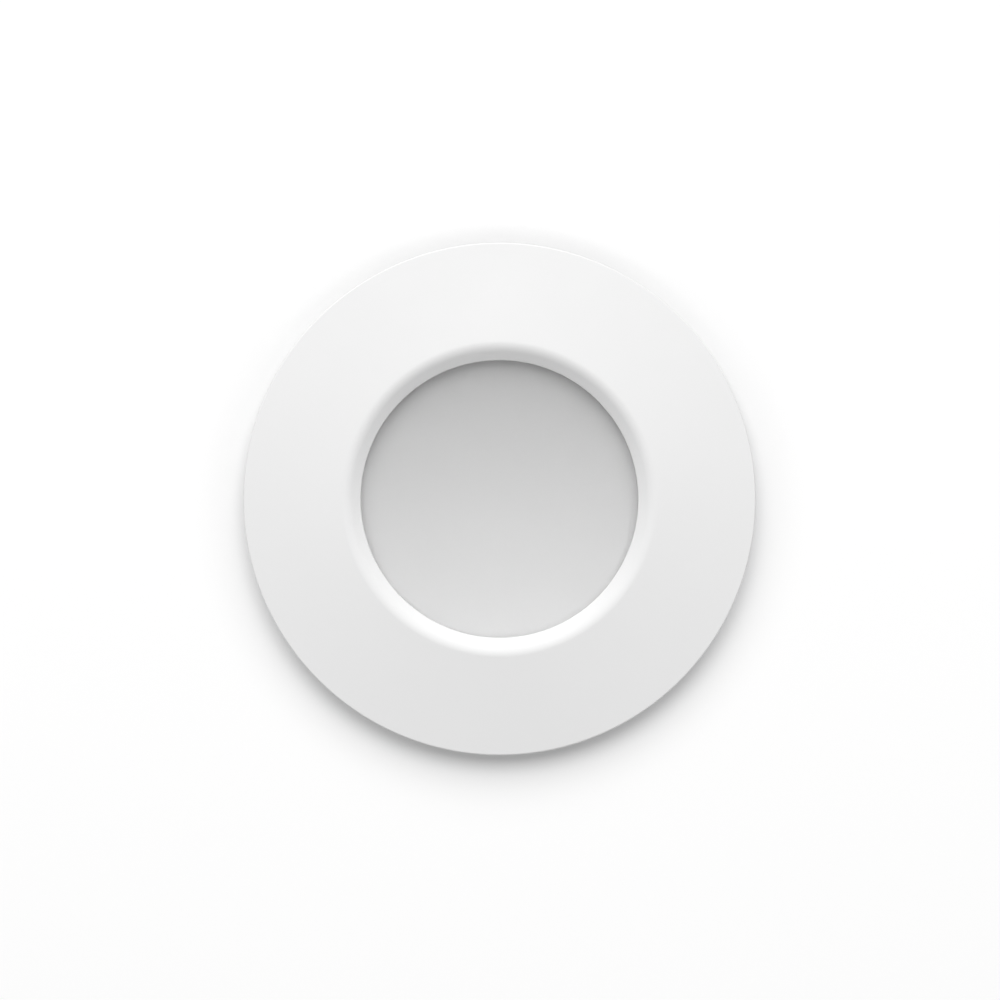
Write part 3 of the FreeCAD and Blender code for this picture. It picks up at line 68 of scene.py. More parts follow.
# %% [markdown]
# ## Sizes
#
# The frame already knows how large each piece is, so the sizes below are read from its boxes. Only
# what a box can't tell, such as a sheet's thickness or a slope, is written as a number of its own.
# All numbers are in metres, so a size in millimetres is written as a number times mm.

# %% Sizes of the face, read from the frame
mm = 0.001


def in_mm(length, digits=2):
    """A length in metres as rounded millimetres, for the printed notes."""
    return round(length / mm, digits)


bezel_low, bezel_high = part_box("bezel")
gasket_low, gasket_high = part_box("ceiling_gasket")
diffuser_low, diffuser_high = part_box("diffuser")

bezel_radius = bezel_high.x
bezel_top = bezel_high.z
face_z = bezel_low.z
print("ring:", in_mm(2 * bezel_radius), "mm across, lowest point", in_mm(face_z), "mm")

# %% [markdown]
# ## Lathe pieces
#
# A pressed ring, a moulded dish and a foam ring are all turned forms. They could be modelled from
# a cylinder with loop cuts, or with a Screw modifier on a curve. Here one outline, drawn as
# corners with a round on each, is spun about the light's axis. The arcs are worked out from the
# corner and its round, as on a drawing, so each edge is soft by the amount that the real one is.

# %% A rounded outline
ARC_STEP = math.radians(8)


def rounded_corner(before, corner, after, rounding):
    """Points along the arc that rounds one corner of an outline."""
    back = (Vector(before) - Vector(corner)).normalized()
    ahead = (Vector(after) - Vector(corner)).normalized()
    half = back.angle(ahead) / 2
    centre = Vector(corner) + (back + ahead).normalized() * (rounding / math.sin(half))
    start = Vector(corner) + back * (rounding / math.tan(half)) - centre
    sweep = math.pi - 2 * half
    turn = 1 if back.x * ahead.y - back.y * ahead.x < 0 else -1
    steps = max(2, math.ceil(sweep / ARC_STEP))
    points = []
    for i in range(steps + 1):
        spoke = start.copy()
        spoke.rotate(Matrix.Rotation(turn * sweep * i / steps, 2))
        points.append(centre + spoke)
    return points


def rounded_outline(corners):
    """A closed outline from (radius, height, round) corners."""
    points = []
    for i, (r, z, rounding) in enumerate(corners):
        before = corners[i - 1][:2]
        after = corners[(i + 1) % len(corners)][:2]
        if rounding:
            points += rounded_corner(before, (r, z), after, rounding)
        else:
            points.append(Vector((r, z)))
    return points


# %% [markdown]
# The spin is done by hand, one ring of vertices for each step. The first and the last outline then
# share their vertices, and the points on the axis are merged into one.

# %% Spin an outline into a mesh
LATHE_STEPS = 256
MERGE_GAP = mm / 10000
FACE_AREA_WEIGHT = 100


def new_object(name, mesh_data):
    """Puts a mesh into the scene as an object of its own."""
    made = bpy.data.objects.new(name, mesh_data)
    bpy.context.scene.collection.objects.link(made)
    return made


def lathe(name, outline, closed=True, steps=LATHE_STEPS):
    """Mesh of revolution about Z. An open outline starts and ends on the axis."""
    bm = bmesh.new()
    rings = []
    for i in range(steps):
        angle = 2 * math.pi * i / steps
        rings.append([bm.verts.new((p.x * math.cos(angle), p.x * math.sin(angle), p.y))
                      for p in outline])
    count = len(outline)
    for i in range(steps):
        near, far = rings[i], rings[(i + 1) % steps]
        for j in range(count if closed else count - 1):
            k = (j + 1) % count
            bm.faces.new((near[j], far[j], far[k], near[k]))
    bmesh.ops.remove_doubles(bm, verts=bm.verts, dist=MERGE_GAP)
    bmesh.ops.recalc_face_normals(bm, faces=bm.faces)
    mesh = bpy.data.meshes.new(name)
    bm.to_mesh(mesh)
    bm.free()
    mesh.shade_smooth()
    made = new_object(name, mesh)
    keep_flats_flat(made)
    return made


def keep_flats_flat(piece):
    """Weighs the normals by face area, so that a wide flat face stays flat next to its round."""
    weigh = piece.modifiers.new("flat faces", "WEIGHTED_NORMAL")
    weigh.keep_sharp = True
    weigh.weight = FACE_AREA_WEIGHT


# %% [markdown]
# ## The ring
#
# The ring is pressed from 1 mm steel sheet. It rises gently from its skirt to a rolled crest, and
# then turns in steeply towards the dish. That roll is what catches the light in the photograph: it
# is dark where it faces away from the lamp and bright on the far side. The CAD ring's mesh is made
# of flat facets, which such a soft highlight would show, so it is turned again with finer arcs.

# %% The bezel ring
sheet = 1.0 * mm
slope = math.tan(math.radians(7))
chamfer = math.tan(math.radians(40))
aperture_radius = 24.4 * mm
crest_width = 2.2 * mm
crest_radius = aperture_radius + crest_width
crest_round = 2.6 * mm
skirt_round = 0.25 * mm
lip_round = 0.3 * mm
sheared_edge_round = 0.12 * mm
flange_side_gap = 1.4 * mm
flange_thickness = 1.2 * mm
flange_face_gap = 0.4 * mm
flange_radius = bezel_radius - sheet - flange_side_gap
skin_at_flange = (gasket_low.z - flange_thickness - flange_face_gap
                  - sheet / math.cos(math.atan(slope)))


def face_height(radius):
    """Height of the ring's skin on its gentle slope."""
    return skin_at_flange - (flange_radius - radius) * slope


def bezel_corners():
    """The pressed sheet's outline, from the top of the skirt round the face and back inside."""
    steep = sheet / math.cos(math.atan(chamfer))
    gentle = sheet / math.cos(math.atan(slope))
    inner_crest = crest_radius + (steep - gentle) / (slope + chamfer)
    lip = face_height(crest_radius) + (crest_radius - aperture_radius) * chamfer
    return [
        (bezel_radius, bezel_top, sheared_edge_round),
        (bezel_radius, face_height(bezel_radius), skirt_round),
        (crest_radius, face_height(crest_radius), crest_round),
        (aperture_radius, lip, lip_round),
        (aperture_radius, lip + steep, sheared_edge_round),
        (inner_crest, face_height(inner_crest) + gentle, crest_round - sheet),
        (bezel_radius - sheet, face_height(bezel_radius - sheet) + gentle, 0),
        (bezel_radius - sheet, bezel_top, sheared_edge_round),
    ]


ring = lathe("bezel_ring_face", rounded_outline(bezel_corners()))
print("ring's lowest point:", in_mm(min(v.co.z for v in ring.data.vertices), 3), "mm")

# %% [markdown]
# Three small lugs inside the skirt hook over the can's flange and hold the ring by a short turn.
# They are bars of a ring, each 14 degrees wide. They could be joined to the ring with a Boolean,
# which would leave long thin faces in it, so they get a small mesh of their own that sinks into
# the skirt.

# %% The bayonet lugs
LUG_COUNT = 3
lug_first = math.radians(90)
lug_width = math.radians(14)
lug_hook = 1.2 * mm
lug_gap = 0.2 * mm
lug_low = gasket_low.z + lug_gap
lug_thickness = 0.7 * mm
lug_edge = 0.1 * mm


def ring_bar(bm, inner, outer, low, high, middle, width, steps=8):
    """Adds one curved bar of a ring to a mesh."""
    loops = []
    for i in range(steps + 1):
        angle = middle + width * (i / steps - 0.5)
        way = Vector((math.cos(angle), math.sin(angle), 0))
        corners = [(inner, low), (outer, low), (outer, high), (inner, high)]
        loops.append([bm.verts.new(way * r + Vector((0, 0, z))) for r, z in corners])
    for near, far in zip(loops, loops[1:]):
        for j in range(4):
            bm.faces.new((near[j], near[(j + 1) % 4], far[(j + 1) % 4], far[j]))
    bm.faces.new(list(reversed(loops[0])))
    bm.faces.new(loops[-1])


def bevelled(piece, width, segments=2, angle=35):
    """Softens the sharp edges of a piece, as a press, a mould or a file leaves them."""
    soften = piece.modifiers.new("soft edges", "BEVEL")
    soften.width = width
    soften.segments = segments
    soften.limit_method = "ANGLE"
    soften.angle_limit = math.radians(angle)
    soften.harden_normals = True


lug_mesh = bmesh.new()
for i in range(LUG_COUNT):
    ring_bar(lug_mesh, flange_radius - lug_hook, bezel_radius - sheet / 2,
             lug_low, lug_low + lug_thickness, lug_first + i * 2 * math.pi / LUG_COUNT, lug_width)
bmesh.ops.recalc_face_normals(lug_mesh, faces=lug_mesh.faces)
lug_data = bpy.data.meshes.new("bayonet_lugs")
lug_mesh.to_mesh(lug_data)
lug_mesh.free()
lugs = new_object("bayonet_lugs", lug_data)
bevelled(lugs, lug_edge)
for piece in (ring, lugs):
    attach(piece, "bezel_ring")
    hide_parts("bezel")
print("lugs:", LUG_COUNT)

# %% [markdown]
# ## The dish
#
# The diffuser is a shallow dish of frosted plastic with a flat rim that sits behind the ring. It
# curves away from the room, so its shading runs the other way from a dome's: darker on the side of
# the lamp. A scaled piece of a sphere would do, but an arc worked out from the dish's sag keeps
# the curve even and makes the depth one number, which was set by comparing renders with the
# photograph.

# %% The diffuser
dish_radius = 24.2 * mm
dish_sag = 3.6 * mm
dish_thickness = 1.2 * mm
rim_radius = diffuser_high.x
rim_front = diffuser_low.z
rim_round = 0.2 * mm
DISH_STEPS = 28


def dish_skin(height):
    """Points from the axis to the dish's edge, along the arc that has the dish's sag."""
    bend = (dish_radius ** 2 + dish_sag ** 2) / (2 * dish_sag)
    sweep = math.asin(dish_radius / bend)
    points = []
    for i in range(DISH_STEPS + 1):
        angle = sweep * i / DISH_STEPS
        drop = bend * (1 - math.cos(angle))
        points.append(Vector((bend * math.sin(angle), height + dish_sag - drop)))
    return points


front_skin = dish_skin(rim_front)
back_skin = dish_skin(rim_front + dish_thickness)
rim = rounded_corner(front_skin[-1], (rim_radius, rim_front),
                     (rim_radius, rim_front + dish_thickness), rim_round)
rim += rounded_corner((rim_radius, rim_front), (rim_radius, rim_front + dish_thickness),
                      back_skin[-1], rim_round)
dish = lathe("diffuser_dish", front_skin + rim + back_skin[::-1], closed=False)
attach(dish, "root")
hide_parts("diffuser")
print("dish:", in_mm(2 * rim_radius), "mm over its rim")

# %% [markdown]
# ## The gasket
#
# A foam ring keeps dust and draughts out between the can's flange and the board. It was cut from
# sheet foam, so its edges are only slightly soft. It is turned like the ring, with a small round
# on each corner, and its pores are left to the material.

# %% The ceiling gasket
gasket_outer = gasket_high.x
gasket_width = 5.4 * mm
gasket_inner = gasket_outer - gasket_width
gasket_round = 0.3 * mm
GASKET_STEPS = 160
gasket = lathe("foam_gasket", rounded_outline([
    (gasket_inner, gasket_low.z, gasket_round),
    (gasket_outer, gasket_low.z, gasket_round),
    (gasket_outer, gasket_high.z, gasket_round),
    (gasket_inner, gasket_high.z, gasket_round),
]), steps=GASKET_STEPS)
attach(gasket, "root")
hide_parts("ceiling_gasket")
print("gasket:", in_mm(gasket_high.z - gasket_low.z), "mm thick")

# %% [markdown]
# ## The clip springs
#
# Each clip has a wound spring on its pin. Its leg lies on the arm and its foot runs up the
# bracket. A curve with a bevel depth would make the wire too, but its ends and its twist are
# harder to control. Here a tube is swept along a line of points, and its cross-section turns only
# as much as the line does.

# %% A wire swept along a line
WIRE_SIDES = 14
WIRE_END_ANGLE = math.radians(60)


def tube(name, line, radius):
    """Round wire along a line of points, with closed ends."""
    bm = bmesh.new()
    rings = []
    way = (line[1] - line[0]).normalized()
    side = way.orthogonal().normalized()
    for i, point in enumerate(line):
        ahead = (line[min(i + 1, len(line) - 1)] - line[max(i - 1, 0)]).normalized()
        side.rotate(way.rotation_difference(ahead))
        way = ahead
        up = way.cross(side).normalized()
        ring_points = []
        for k in range(WIRE_SIDES):
            angle = 2 * math.pi * k / WIRE_SIDES
            spoke = (side * math.cos(angle) + up * math.sin(angle)) * radius
            ring_points.append(bm.verts.new(point + spoke))
        rings.append(ring_points)
    for near, far in zip(rings, rings[1:]):
        for k in range(WIRE_SIDES):
            m = (k + 1) % WIRE_SIDES
            bm.faces.new((near[k], near[m], far[m], far[k]))
    bm.faces.new(list(reversed(rings[0])))
    bm.faces.new(rings[-1])
    mesh = bpy.data.meshes.new(name)
    bm.to_mesh(mesh)
    bm.free()
    mesh.shade_smooth()
    mesh.set_sharp_from_angle(angle=WIRE_END_ANGLE)
    return new_object(name, mesh)


# %% [markdown]
# The line is worked out turn by turn. The first and last part turns lie flat, so that the legs
# leave the coil square to the pin.

# %% The springs
joints = {joint["name"]: joint for joint in frame["joints"]}
pivot = Vector(joints["right_clip_hinge"]["pos_m"])
spring_wire = 0.9 * mm
spring_radius = 1.95 * mm
spring_turns = 3
spring_pitch = 1.6 * mm
spring_leg = 13.0 * mm
spring_foot = 4.8 * mm
droop_degrees = 20.0
foot_lean_degrees = 4.8
COIL_STEPS = 40
LEG_STEPS = 8
FOOT_STEPS = 4


def spring_line():
    """Points from the end of the leg on the arm, round the coil, to the end of the foot."""
    first = math.radians(270 - droop_degrees)
    last = math.radians(180 + foot_lean_degrees - 360 * spring_turns)
    turns = (first - last) / (2 * math.pi)
    flat = turns / (4 * spring_turns + 1)
    span = spring_pitch * (turns - flat)
    line = []
    steps = round(COIL_STEPS * turns)
    for i in range(steps + 1):
        angle = first + (last - first) * i / steps
        travel = spring_pitch * max(0, min(turns * i / steps - flat / 2, turns - flat))
        line.append(pivot + Vector((spring_radius * math.cos(angle), span / 2 - travel,
                                    spring_radius * math.sin(angle))))
    leg_way = Vector((math.sin(first), 0, -math.cos(first)))
    foot_way = Vector((math.sin(last), 0, -math.cos(last)))
    leg = [line[0] - leg_way * spring_leg * (1 - i / LEG_STEPS) for i in range(LEG_STEPS)]
    foot = [line[-1] + foot_way * spring_foot * i / FOOT_STEPS for i in range(1, FOOT_STEPS + 1)]
    return leg + line + foot, span


line, span = spring_line()
for side, sign in (("right", 1), ("left", -1)):
    turned = [Vector((sign * p.x, sign * p.y, p.z)) for p in line]
    spring = tube(side + "_spring_coil", turned, spring_wire / 2)
    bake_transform(spring)
    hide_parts(side + "_clip_spring")
print("spring coil:", in_mm(span), "mm long")

# %% [markdown]
# ## Soft edges on the other pieces
#
# The rest of the CAD pieces already have the right form. Cast, moulded and pressed parts never
# have a knife edge, so those with sharp edges get a narrow bevel. Remodelling them would gain
# little, because a modifier leaves the CAD mesh as it is and still catches the light along each
# edge. The frame's meshes come with their vertices split along each edge, so a weld comes first.

# %% Narrow bevels, in millimetres
EDGE_WIDTHS = {
    "heat_sink": 0.25,
    "driver_housing": 0.2,
    "driver_lid": 0.2,
    "terminal_cover": 0.2,
    "terminal_block": 0.12,
    "cord_clamp": 0.15,
    "right_clip_arm": 0.12,
    "left_clip_arm": 0.12,
    "right_clip_bracket": 0.12,
    "left_clip_bracket": 0.12,
    "right_clip_pin": 0.12,
    "left_clip_pin": 0.12,
    "clip_rivets": 0.15,
    "lid_screws": 0.1,
    "cord_clamp_screws": 0.1,
    "first_release_button": 0.12,
    "second_release_button": 0.12,
    "third_release_button": 0.12,
}
WELD_GAP = mm / 2000
SHARP_DEGREES = 30


def soft_edges(piece, width):
    """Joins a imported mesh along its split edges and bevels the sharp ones."""
    weld = piece.modifiers.new("weld", "WELD")
    weld.merge_threshold = WELD_GAP
    bevelled(piece, width, angle=SHARP_DEGREES)


for name, width in EDGE_WIDTHS.items():
    soft_edges(nodes[name], width * mm)
print("pieces with soft edges:", len(EDGE_WIDTHS))

# %% [markdown]
# ## Shared effects
#
# Grain, soft patches, drawn lines and rubbed edges turn up in many finishes. They could be painted
# images, but noise worked out in the shader needs no UV map and has the same size on each piece.
# Each is a node group that is made once. A group puts out only heights, masks and values. The
# shader itself stays in each material, with its own plain numbers.

# %% Making a node group
def link(tree, source, target):
    """Joins a socket that gives to one that takes."""
    tree.links.new(source, target)


def node(tree, kind, **settings):
    """A shader node with some of its properties set."""
    made = tree.nodes.new("ShaderNode" + kind)
    for key, value in settings.items():
        setattr(made, key, value)
    return made


def print_names(*made):
    """Prints what a cell has made."""
    print("made:", ", ".join(item.name for item in made))


def group(name, inputs, outputs):
    """An empty node group with float inputs (name, default) and float outputs."""
    tree = bpy.data.node_groups.new(name, "ShaderNodeTree")
    for label, default in inputs:
        socket = tree.interface.new_socket(label, in_out="INPUT", socket_type="NodeSocketFloat")
        socket.default_value = default
    for label in outputs:
        tree.interface.new_socket(label, in_out="OUTPUT", socket_type="NodeSocketFloat")
    return tree, tree.nodes.new("NodeGroupInput"), tree.nodes.new("NodeGroupOutput")


def math_node(tree, operation, a, b):
    """A sum on two values, each a socket or a number."""
    made = node(tree, "Math", operation=operation)
    for slot_index, value in enumerate((a, b)):
        if isinstance(value, (int, float)):
            made.inputs[slot_index].default_value = value
        else:
            link(tree, value, made.inputs[slot_index])
    return made.outputs[0]


# %% [markdown]
# Paint, plastic and cast metal all have a fine unevenness. Two noises of different width, added
# together, look less regular than one. The cell starts with a small helper for noise.

# %% Grain, for cast, moulded and painted skins
def noise(tree, place, size, detail=2.0):
    """Noise whose blotches are about as wide as size, a socket in metres."""
    texture = node(tree, "TexNoise")
    link(tree, place, texture.inputs["Vector"])
    link(tree, math_node(tree, "DIVIDE", 1.0, size), texture.inputs["Scale"])
    texture.inputs["Detail"].default_value = detail
    return texture.outputs["Fac"]


BROAD_TO_FINE = 5.0
FINE_SHARE, BROAD_SHARE = 0.7, 0.3
grain, grain_in, grain_out = group("skin grain", [("Size", 0.3 * mm)], ["Height"])
place = node(grain, "TexCoord").outputs["Object"]
fine = noise(grain, place, grain_in.outputs["Size"])
broad = noise(grain, place, math_node(grain, "MULTIPLY", grain_in.outputs["Size"], BROAD_TO_FINE))
mixed = math_node(grain, "ADD", math_node(grain, "MULTIPLY", fine, FINE_SHARE),
                  math_node(grain, "MULTIPLY", broad, BROAD_SHARE))
link(grain, mixed, grain_out.inputs["Height"])
print_names(grain)

# %% [markdown]
# No surface has quite the same tone and gloss all over. A slow noise between two limits gives that
# drift, and each material chooses the limits.

# %% Patches, for the slow drift of tone and gloss over a surface
NOISE_LOW, NOISE_HIGH = 0.3, 0.7
patches, patches_in, patches_out = group(
    "soft patches", [("Size", 10 * mm), ("Low", 0.9), ("High", 1.0)], ["Value"])
place = node(patches, "TexCoord").outputs["Object"]
spread = node(patches, "MapRange")
link(patches, noise(patches, place, patches_in.outputs["Size"], detail=4.0),
     spread.inputs["Value"])
spread.inputs["From Min"].default_value = NOISE_LOW
spread.inputs["From Max"].default_value = NOISE_HIGH
link(patches, patches_in.outputs["Low"], spread.inputs["To Min"])
link(patches, patches_in.outputs["High"], spread.inputs["To Max"])
link(patches, spread.outputs["Result"], patches_out.inputs["Value"])
print_names(patches)

# %% [markdown]
# Rolled strip and drawn wire have fine lines along their length. A noise gets them when the place
# is squeezed along that direction before the noise is read.

# %% Drawn lines, for strip, wire and turned metal
lines, lines_in, lines_out = group(
    "drawn lines", [("Size", 0.2 * mm), ("X", 1.0), ("Y", 1.0), ("Z", 1.0)], ["Height"])
place = node(lines, "TexCoord").outputs["Object"]
stretch = node(lines, "CombineXYZ")
for label in "XYZ":
    link(lines, lines_in.outputs[label], stretch.inputs[label])
stretched = node(lines, "VectorMath", operation="MULTIPLY")
link(lines, place, stretched.inputs[0])
link(lines, stretch.outputs[0], stretched.inputs[1])
link(lines, noise(lines, stretched.outputs[0], lines_in.outputs["Size"], detail=3.0),
     lines_out.inputs["Height"])
print_names(lines)

# %% [markdown]
# Handling polishes corners first. A Bevel node gives a rounded normal near an edge, and where that
# differs from the surface's own normal there is an edge. A noise breaks the line up, because wear
# is never even.

# %% Rubbed edges, where handling has polished a corner
EDGE_STARTS_AT, EDGE_FULL_AT = 0.98, 0.85
rubbed, rubbed_in, rubbed_out = group(
    "rubbed edges", [("Width", 0.3 * mm), ("Patch", 3 * mm)], ["Mask"])
rounder = node(rubbed, "Bevel", samples=4)
link(rubbed, rubbed_in.outputs["Width"], rounder.inputs["Radius"])
flatness = node(rubbed, "VectorMath", operation="DOT_PRODUCT")
link(rubbed, rounder.outputs["Normal"], flatness.inputs[0])
link(rubbed, node(rubbed, "NewGeometry").outputs["Normal"], flatness.inputs[1])
sharpness = node(rubbed, "MapRange")
link(rubbed, flatness.outputs["Value"], sharpness.inputs["Value"])
sharpness.inputs["From Min"].default_value = EDGE_STARTS_AT
sharpness.inputs["From Max"].default_value = EDGE_FULL_AT
place = node(rubbed, "TexCoord").outputs["Object"]
broken = noise(rubbed, place, rubbed_in.outputs["Patch"], detail=3.0)
link(rubbed, math_node(rubbed, "MULTIPLY", sharpness.outputs["Result"], broken),
     rubbed_out.inputs["Mask"])
print_names(rubbed)

# %% [markdown]
# Foam is made of bubbles pressed against each other, which is what a Voronoi texture draws.

# %% Foam cells, for the gasket and the sleeves
cells, cells_in, cells_out = group("foam cells", [("Size", 0.4 * mm)], ["Height"])
place = node(cells, "TexCoord").outputs["Object"]
bubbles = node(cells, "TexVoronoi", feature="SMOOTH_F1")
link(cells, place, bubbles.inputs["Vector"])
link(cells, math_node(cells, "DIVIDE", 1.0, cells_in.outputs["Size"]), bubbles.inputs["Scale"])
link(cells, bubbles.outputs["Distance"], cells_out.inputs["Height"])
print_names(cells)

# %% [markdown]
# ## Finishes
#
# Each finish is one Principled shader. Its colour drifts a little over the surface, its gloss is
# patchy, and a fine relief breaks up the reflections. What is the same all over, such as metal or
# not, is a number on the shader's own socket.

# %% One function for what all finishes share
def place_group(tree, source, **values):
    """A node group in a material, with its own values."""
    made = tree.nodes.new("ShaderNodeGroup")
    made.node_tree = source
    for label, value in values.items():
        made.inputs[label].default_value = value
    return made


def tinted(tree, colour, factor):
    """A colour times a value that changes over the surface."""
    made = node(tree, "Mix", data_type="RGBA", blend_type="MULTIPLY")
    made.inputs["Factor"].default_value = 1.0
    made.inputs["A"].default_value = (*colour, 1.0)
    link(tree, factor, made.inputs["B"])
    return made


def mixed_colours(tree, mask, a, b):
    """Colour a where the mask is 0 and b where it is 1. Each is a socket or a colour."""
    made = node(tree, "Mix", data_type="RGBA")
    link(tree, mask, made.inputs["Factor"])
    for label, colour in (("A", a), ("B", b)):
        if isinstance(colour, tuple):
            made.inputs[label].default_value = (*colour, 1.0)
        else:
            link(tree, colour, made.inputs[label])
    return made.outputs["Result"]


def relief(tree, shader, height, depth):
    """Raises a height into the shader's normal, depth metres deep."""
    bump = node(tree, "Bump")
    bump.inputs["Distance"].default_value = depth
    link(tree, height, bump.inputs["Height"])
    link(tree, bump.outputs["Normal"], shader.inputs["Normal"])


GLOSS_PATCHES_PER_TONE_PATCH = 3


def finish(name, colour, rough, drift=0.05, patch=12.0, grain_size=0.3, grain_depth=0.01,
           **constants):
    """A material with drifting colour and gloss and a fine grain. Sizes are in millimetres."""
    material = bpy.data.materials.new(name)
    material.use_nodes = True
    tree = material.node_tree
    shader = tree.nodes["Principled BSDF"]
    for label, value in constants.items():
        shader.inputs[label.replace("_", " ")].default_value = value
    tone = place_group(tree, patches, Size=patch * mm, Low=1 - drift, High=1.0)
    coloured = tinted(tree, colour, tone.outputs["Value"])
    link(tree, coloured.outputs["Result"], shader.inputs["Base Color"])
    gloss = place_group(tree, patches, Size=patch * mm / GLOSS_PATCHES_PER_TONE_PATCH,
                        Low=rough[0], High=rough[1])
    link(tree, gloss.outputs["Value"], shader.inputs["Roughness"])
    skin = place_group(tree, grain, Size=grain_size * mm)
    relief(tree, shader, skin.outputs["Height"], grain_depth * mm)
    return material, tree, shader, coloured.outputs["Result"]


# %% [markdown]
# The ring's powder coat is a satin white with a very fine orange peel. The dish is frosted: a fine
# sandblasted tooth, a little darker than the paint, and slightly soft inside.

# %% Face finishes
bezel_white = finish("bezel_white", (0.84, 0.84, 0.84), (0.5, 0.6), drift=0.012, patch=20,
                     grain_size=0.5, grain_depth=0.004, Specular_IOR_Level=0.4)[0]
diffuser_opal, tree, shader, _ = finish(
    "diffuser_opal", (0.89, 0.89, 0.89), (0.55, 0.65), drift=0.01, patch=15,
    grain_size=0.12, grain_depth=0.006, Subsurface_Weight=1.0, Subsurface_Scale=5.0 * mm)
shader.inputs["Subsurface Radius"].default_value = (1.0, 1.0, 1.0)
ring_white = finish("ring_white", (0.80, 0.80, 0.79), (0.4, 0.5),
                    grain_size=0.2, grain_depth=0.005)[0]
seal_silicone = finish("seal_silicone", (0.75, 0.75, 0.73), (0.35, 0.45), grain_size=0.6)[0]
print_names(bezel_white, diffuser_opal, ring_white, seal_silicone)

# %% [markdown]
# Closed-cell foam is black and slightly shiny inside each burst cell. Vinyl sleeves are smoother,
# with a faint dimple.

# %% Foam, vinyl and rubber
gasket_foam, tree, shader, _ = finish("gasket_foam", (0.06, 0.06, 0.062), (0.6, 0.8),
                                      drift=0.35, patch=1.0)
pores = place_group(tree, cells, Size=0.45 * mm)
relief(tree, shader, pores.outputs["Height"], depth=0.12 * mm)

sleeve_vinyl, tree, shader, _ = finish("sleeve_vinyl", (0.72, 0.72, 0.72), (0.3, 0.42),
                                       drift=0.06, patch=4)
dimples = place_group(tree, cells, Size=1.2 * mm)
relief(tree, shader, dimples.outputs["Height"], depth=0.02 * mm)

grommet_rubber = finish("grommet_rubber", (0.03, 0.03, 0.03), (0.5, 0.65), grain_size=0.2)[0]
thermal_grey = finish("thermal_grey", (0.40, 0.46, 0.52), (0.6, 0.7), grain_size=0.4)[0]
print_names(gasket_foam, sleeve_vinyl, grommet_rubber, thermal_grey)

# %% [markdown]
# The can is die cast and bead blasted, so it has a fine even tooth and dull highlights. Fin edges
# that have been handled are a little brighter.

# %% Cast aluminium
cast_aluminium, tree, shader, cast_colour = finish(
    "cast_aluminium", (0.60, 0.61, 0.62), (0.42, 0.54), drift=0.12, patch=9,
    grain_size=0.3, grain_depth=0.025, Metallic=1.0)
bare_aluminium = (0.78, 0.78, 0.79)
polish = place_group(tree, rubbed, Width=0.35 * mm, Patch=4 * mm)
link(tree, mixed_colours(tree, polish.outputs["Mask"], cast_colour, bare_aluminium),
     shader.inputs["Base Color"])
print_names(cast_aluminium)

# %% [markdown]
# Strip steel is rolled and then zinc plated, so it keeps fine lines along its length and has a
# slightly warm, cloudy shine. The spring wire was drawn through a die, and the screws were headed.

# %% Plated steel
def plated(name, colour, rough, stretch_by, line_size=0.3, depth=0.0025):
    """Bright metal with fine lines, drawn out along the axes where stretch_by is small."""
    material, tree, shader, _ = finish(name, colour, rough, drift=0.10, patch=3, Metallic=1.0)
    drawn = place_group(tree, lines, Size=line_size * mm, X=stretch_by[0], Y=stretch_by[1],
                        Z=stretch_by[2])
    relief(tree, shader, drawn.outputs["Height"], depth * mm)
    return material


clip_steel = plated("clip_steel", (0.66, 0.66, 0.655), (0.26, 0.38), (0.04, 1.0, 0.04))
spring_steel = plated("spring_steel", (0.50, 0.49, 0.47), (0.22, 0.34), (0.3, 1.0, 0.3),
                      line_size=0.2)
screw_steel = plated("screw_steel", (0.62, 0.61, 0.57), (0.24, 0.4), (1.0, 1.0, 0.2))
contact_brass = plated("contact_brass", (0.75, 0.6, 0.3), (0.25, 0.4), (1.0, 0.1, 1.0))
print_names(clip_steel, spring_steel, screw_steel, contact_brass)

# %% [markdown]
# The housing is moulded in white plastic with a spark-eroded texture, which looks like very fine
# sand. Its edges are a little paler where hands and tools have rubbed them.

# %% Moulded plastics
housing_plastic, tree, shader, housing_colour = finish(
    "housing_plastic", (0.78, 0.79, 0.78), (0.46, 0.6), drift=0.03, patch=14,
    grain_size=0.35, grain_depth=0.03)
rubbed_plastic = (0.84, 0.84, 0.83)
polish = place_group(tree, rubbed, Width=0.3 * mm, Patch=3 * mm)
link(tree, mixed_colours(tree, polish.outputs["Mask"], housing_colour, rubbed_plastic),
     shader.inputs["Base Color"])
terminal_grey = finish("terminal_grey", (0.70, 0.71, 0.72), (0.38, 0.5), grain_size=0.2)[0]
button_orange = finish("button_orange", (0.85, 0.30, 0.04), (0.35, 0.48), grain_size=0.2)[0]
film_box = finish("film_box", (0.75, 0.55, 0.08), (0.2, 0.3), grain_size=0.5)[0]
chip_black = finish("chip_black", (0.03, 0.03, 0.03), (0.5, 0.6), grain_size=0.1)[0]
fuse_glass = finish("fuse_glass", (0.60, 0.60, 0.58), (0.15, 0.3), grain_size=0.3)[0]
print_names(housing_plastic, terminal_grey, button_orange, film_box, chip_black, fuse_glass)

# %% [markdown]
# Inside the driver and the lamp chamber the finishes are those of any small circuit: solder mask,
# pale tape, dark sleeves and sintered ferrite.

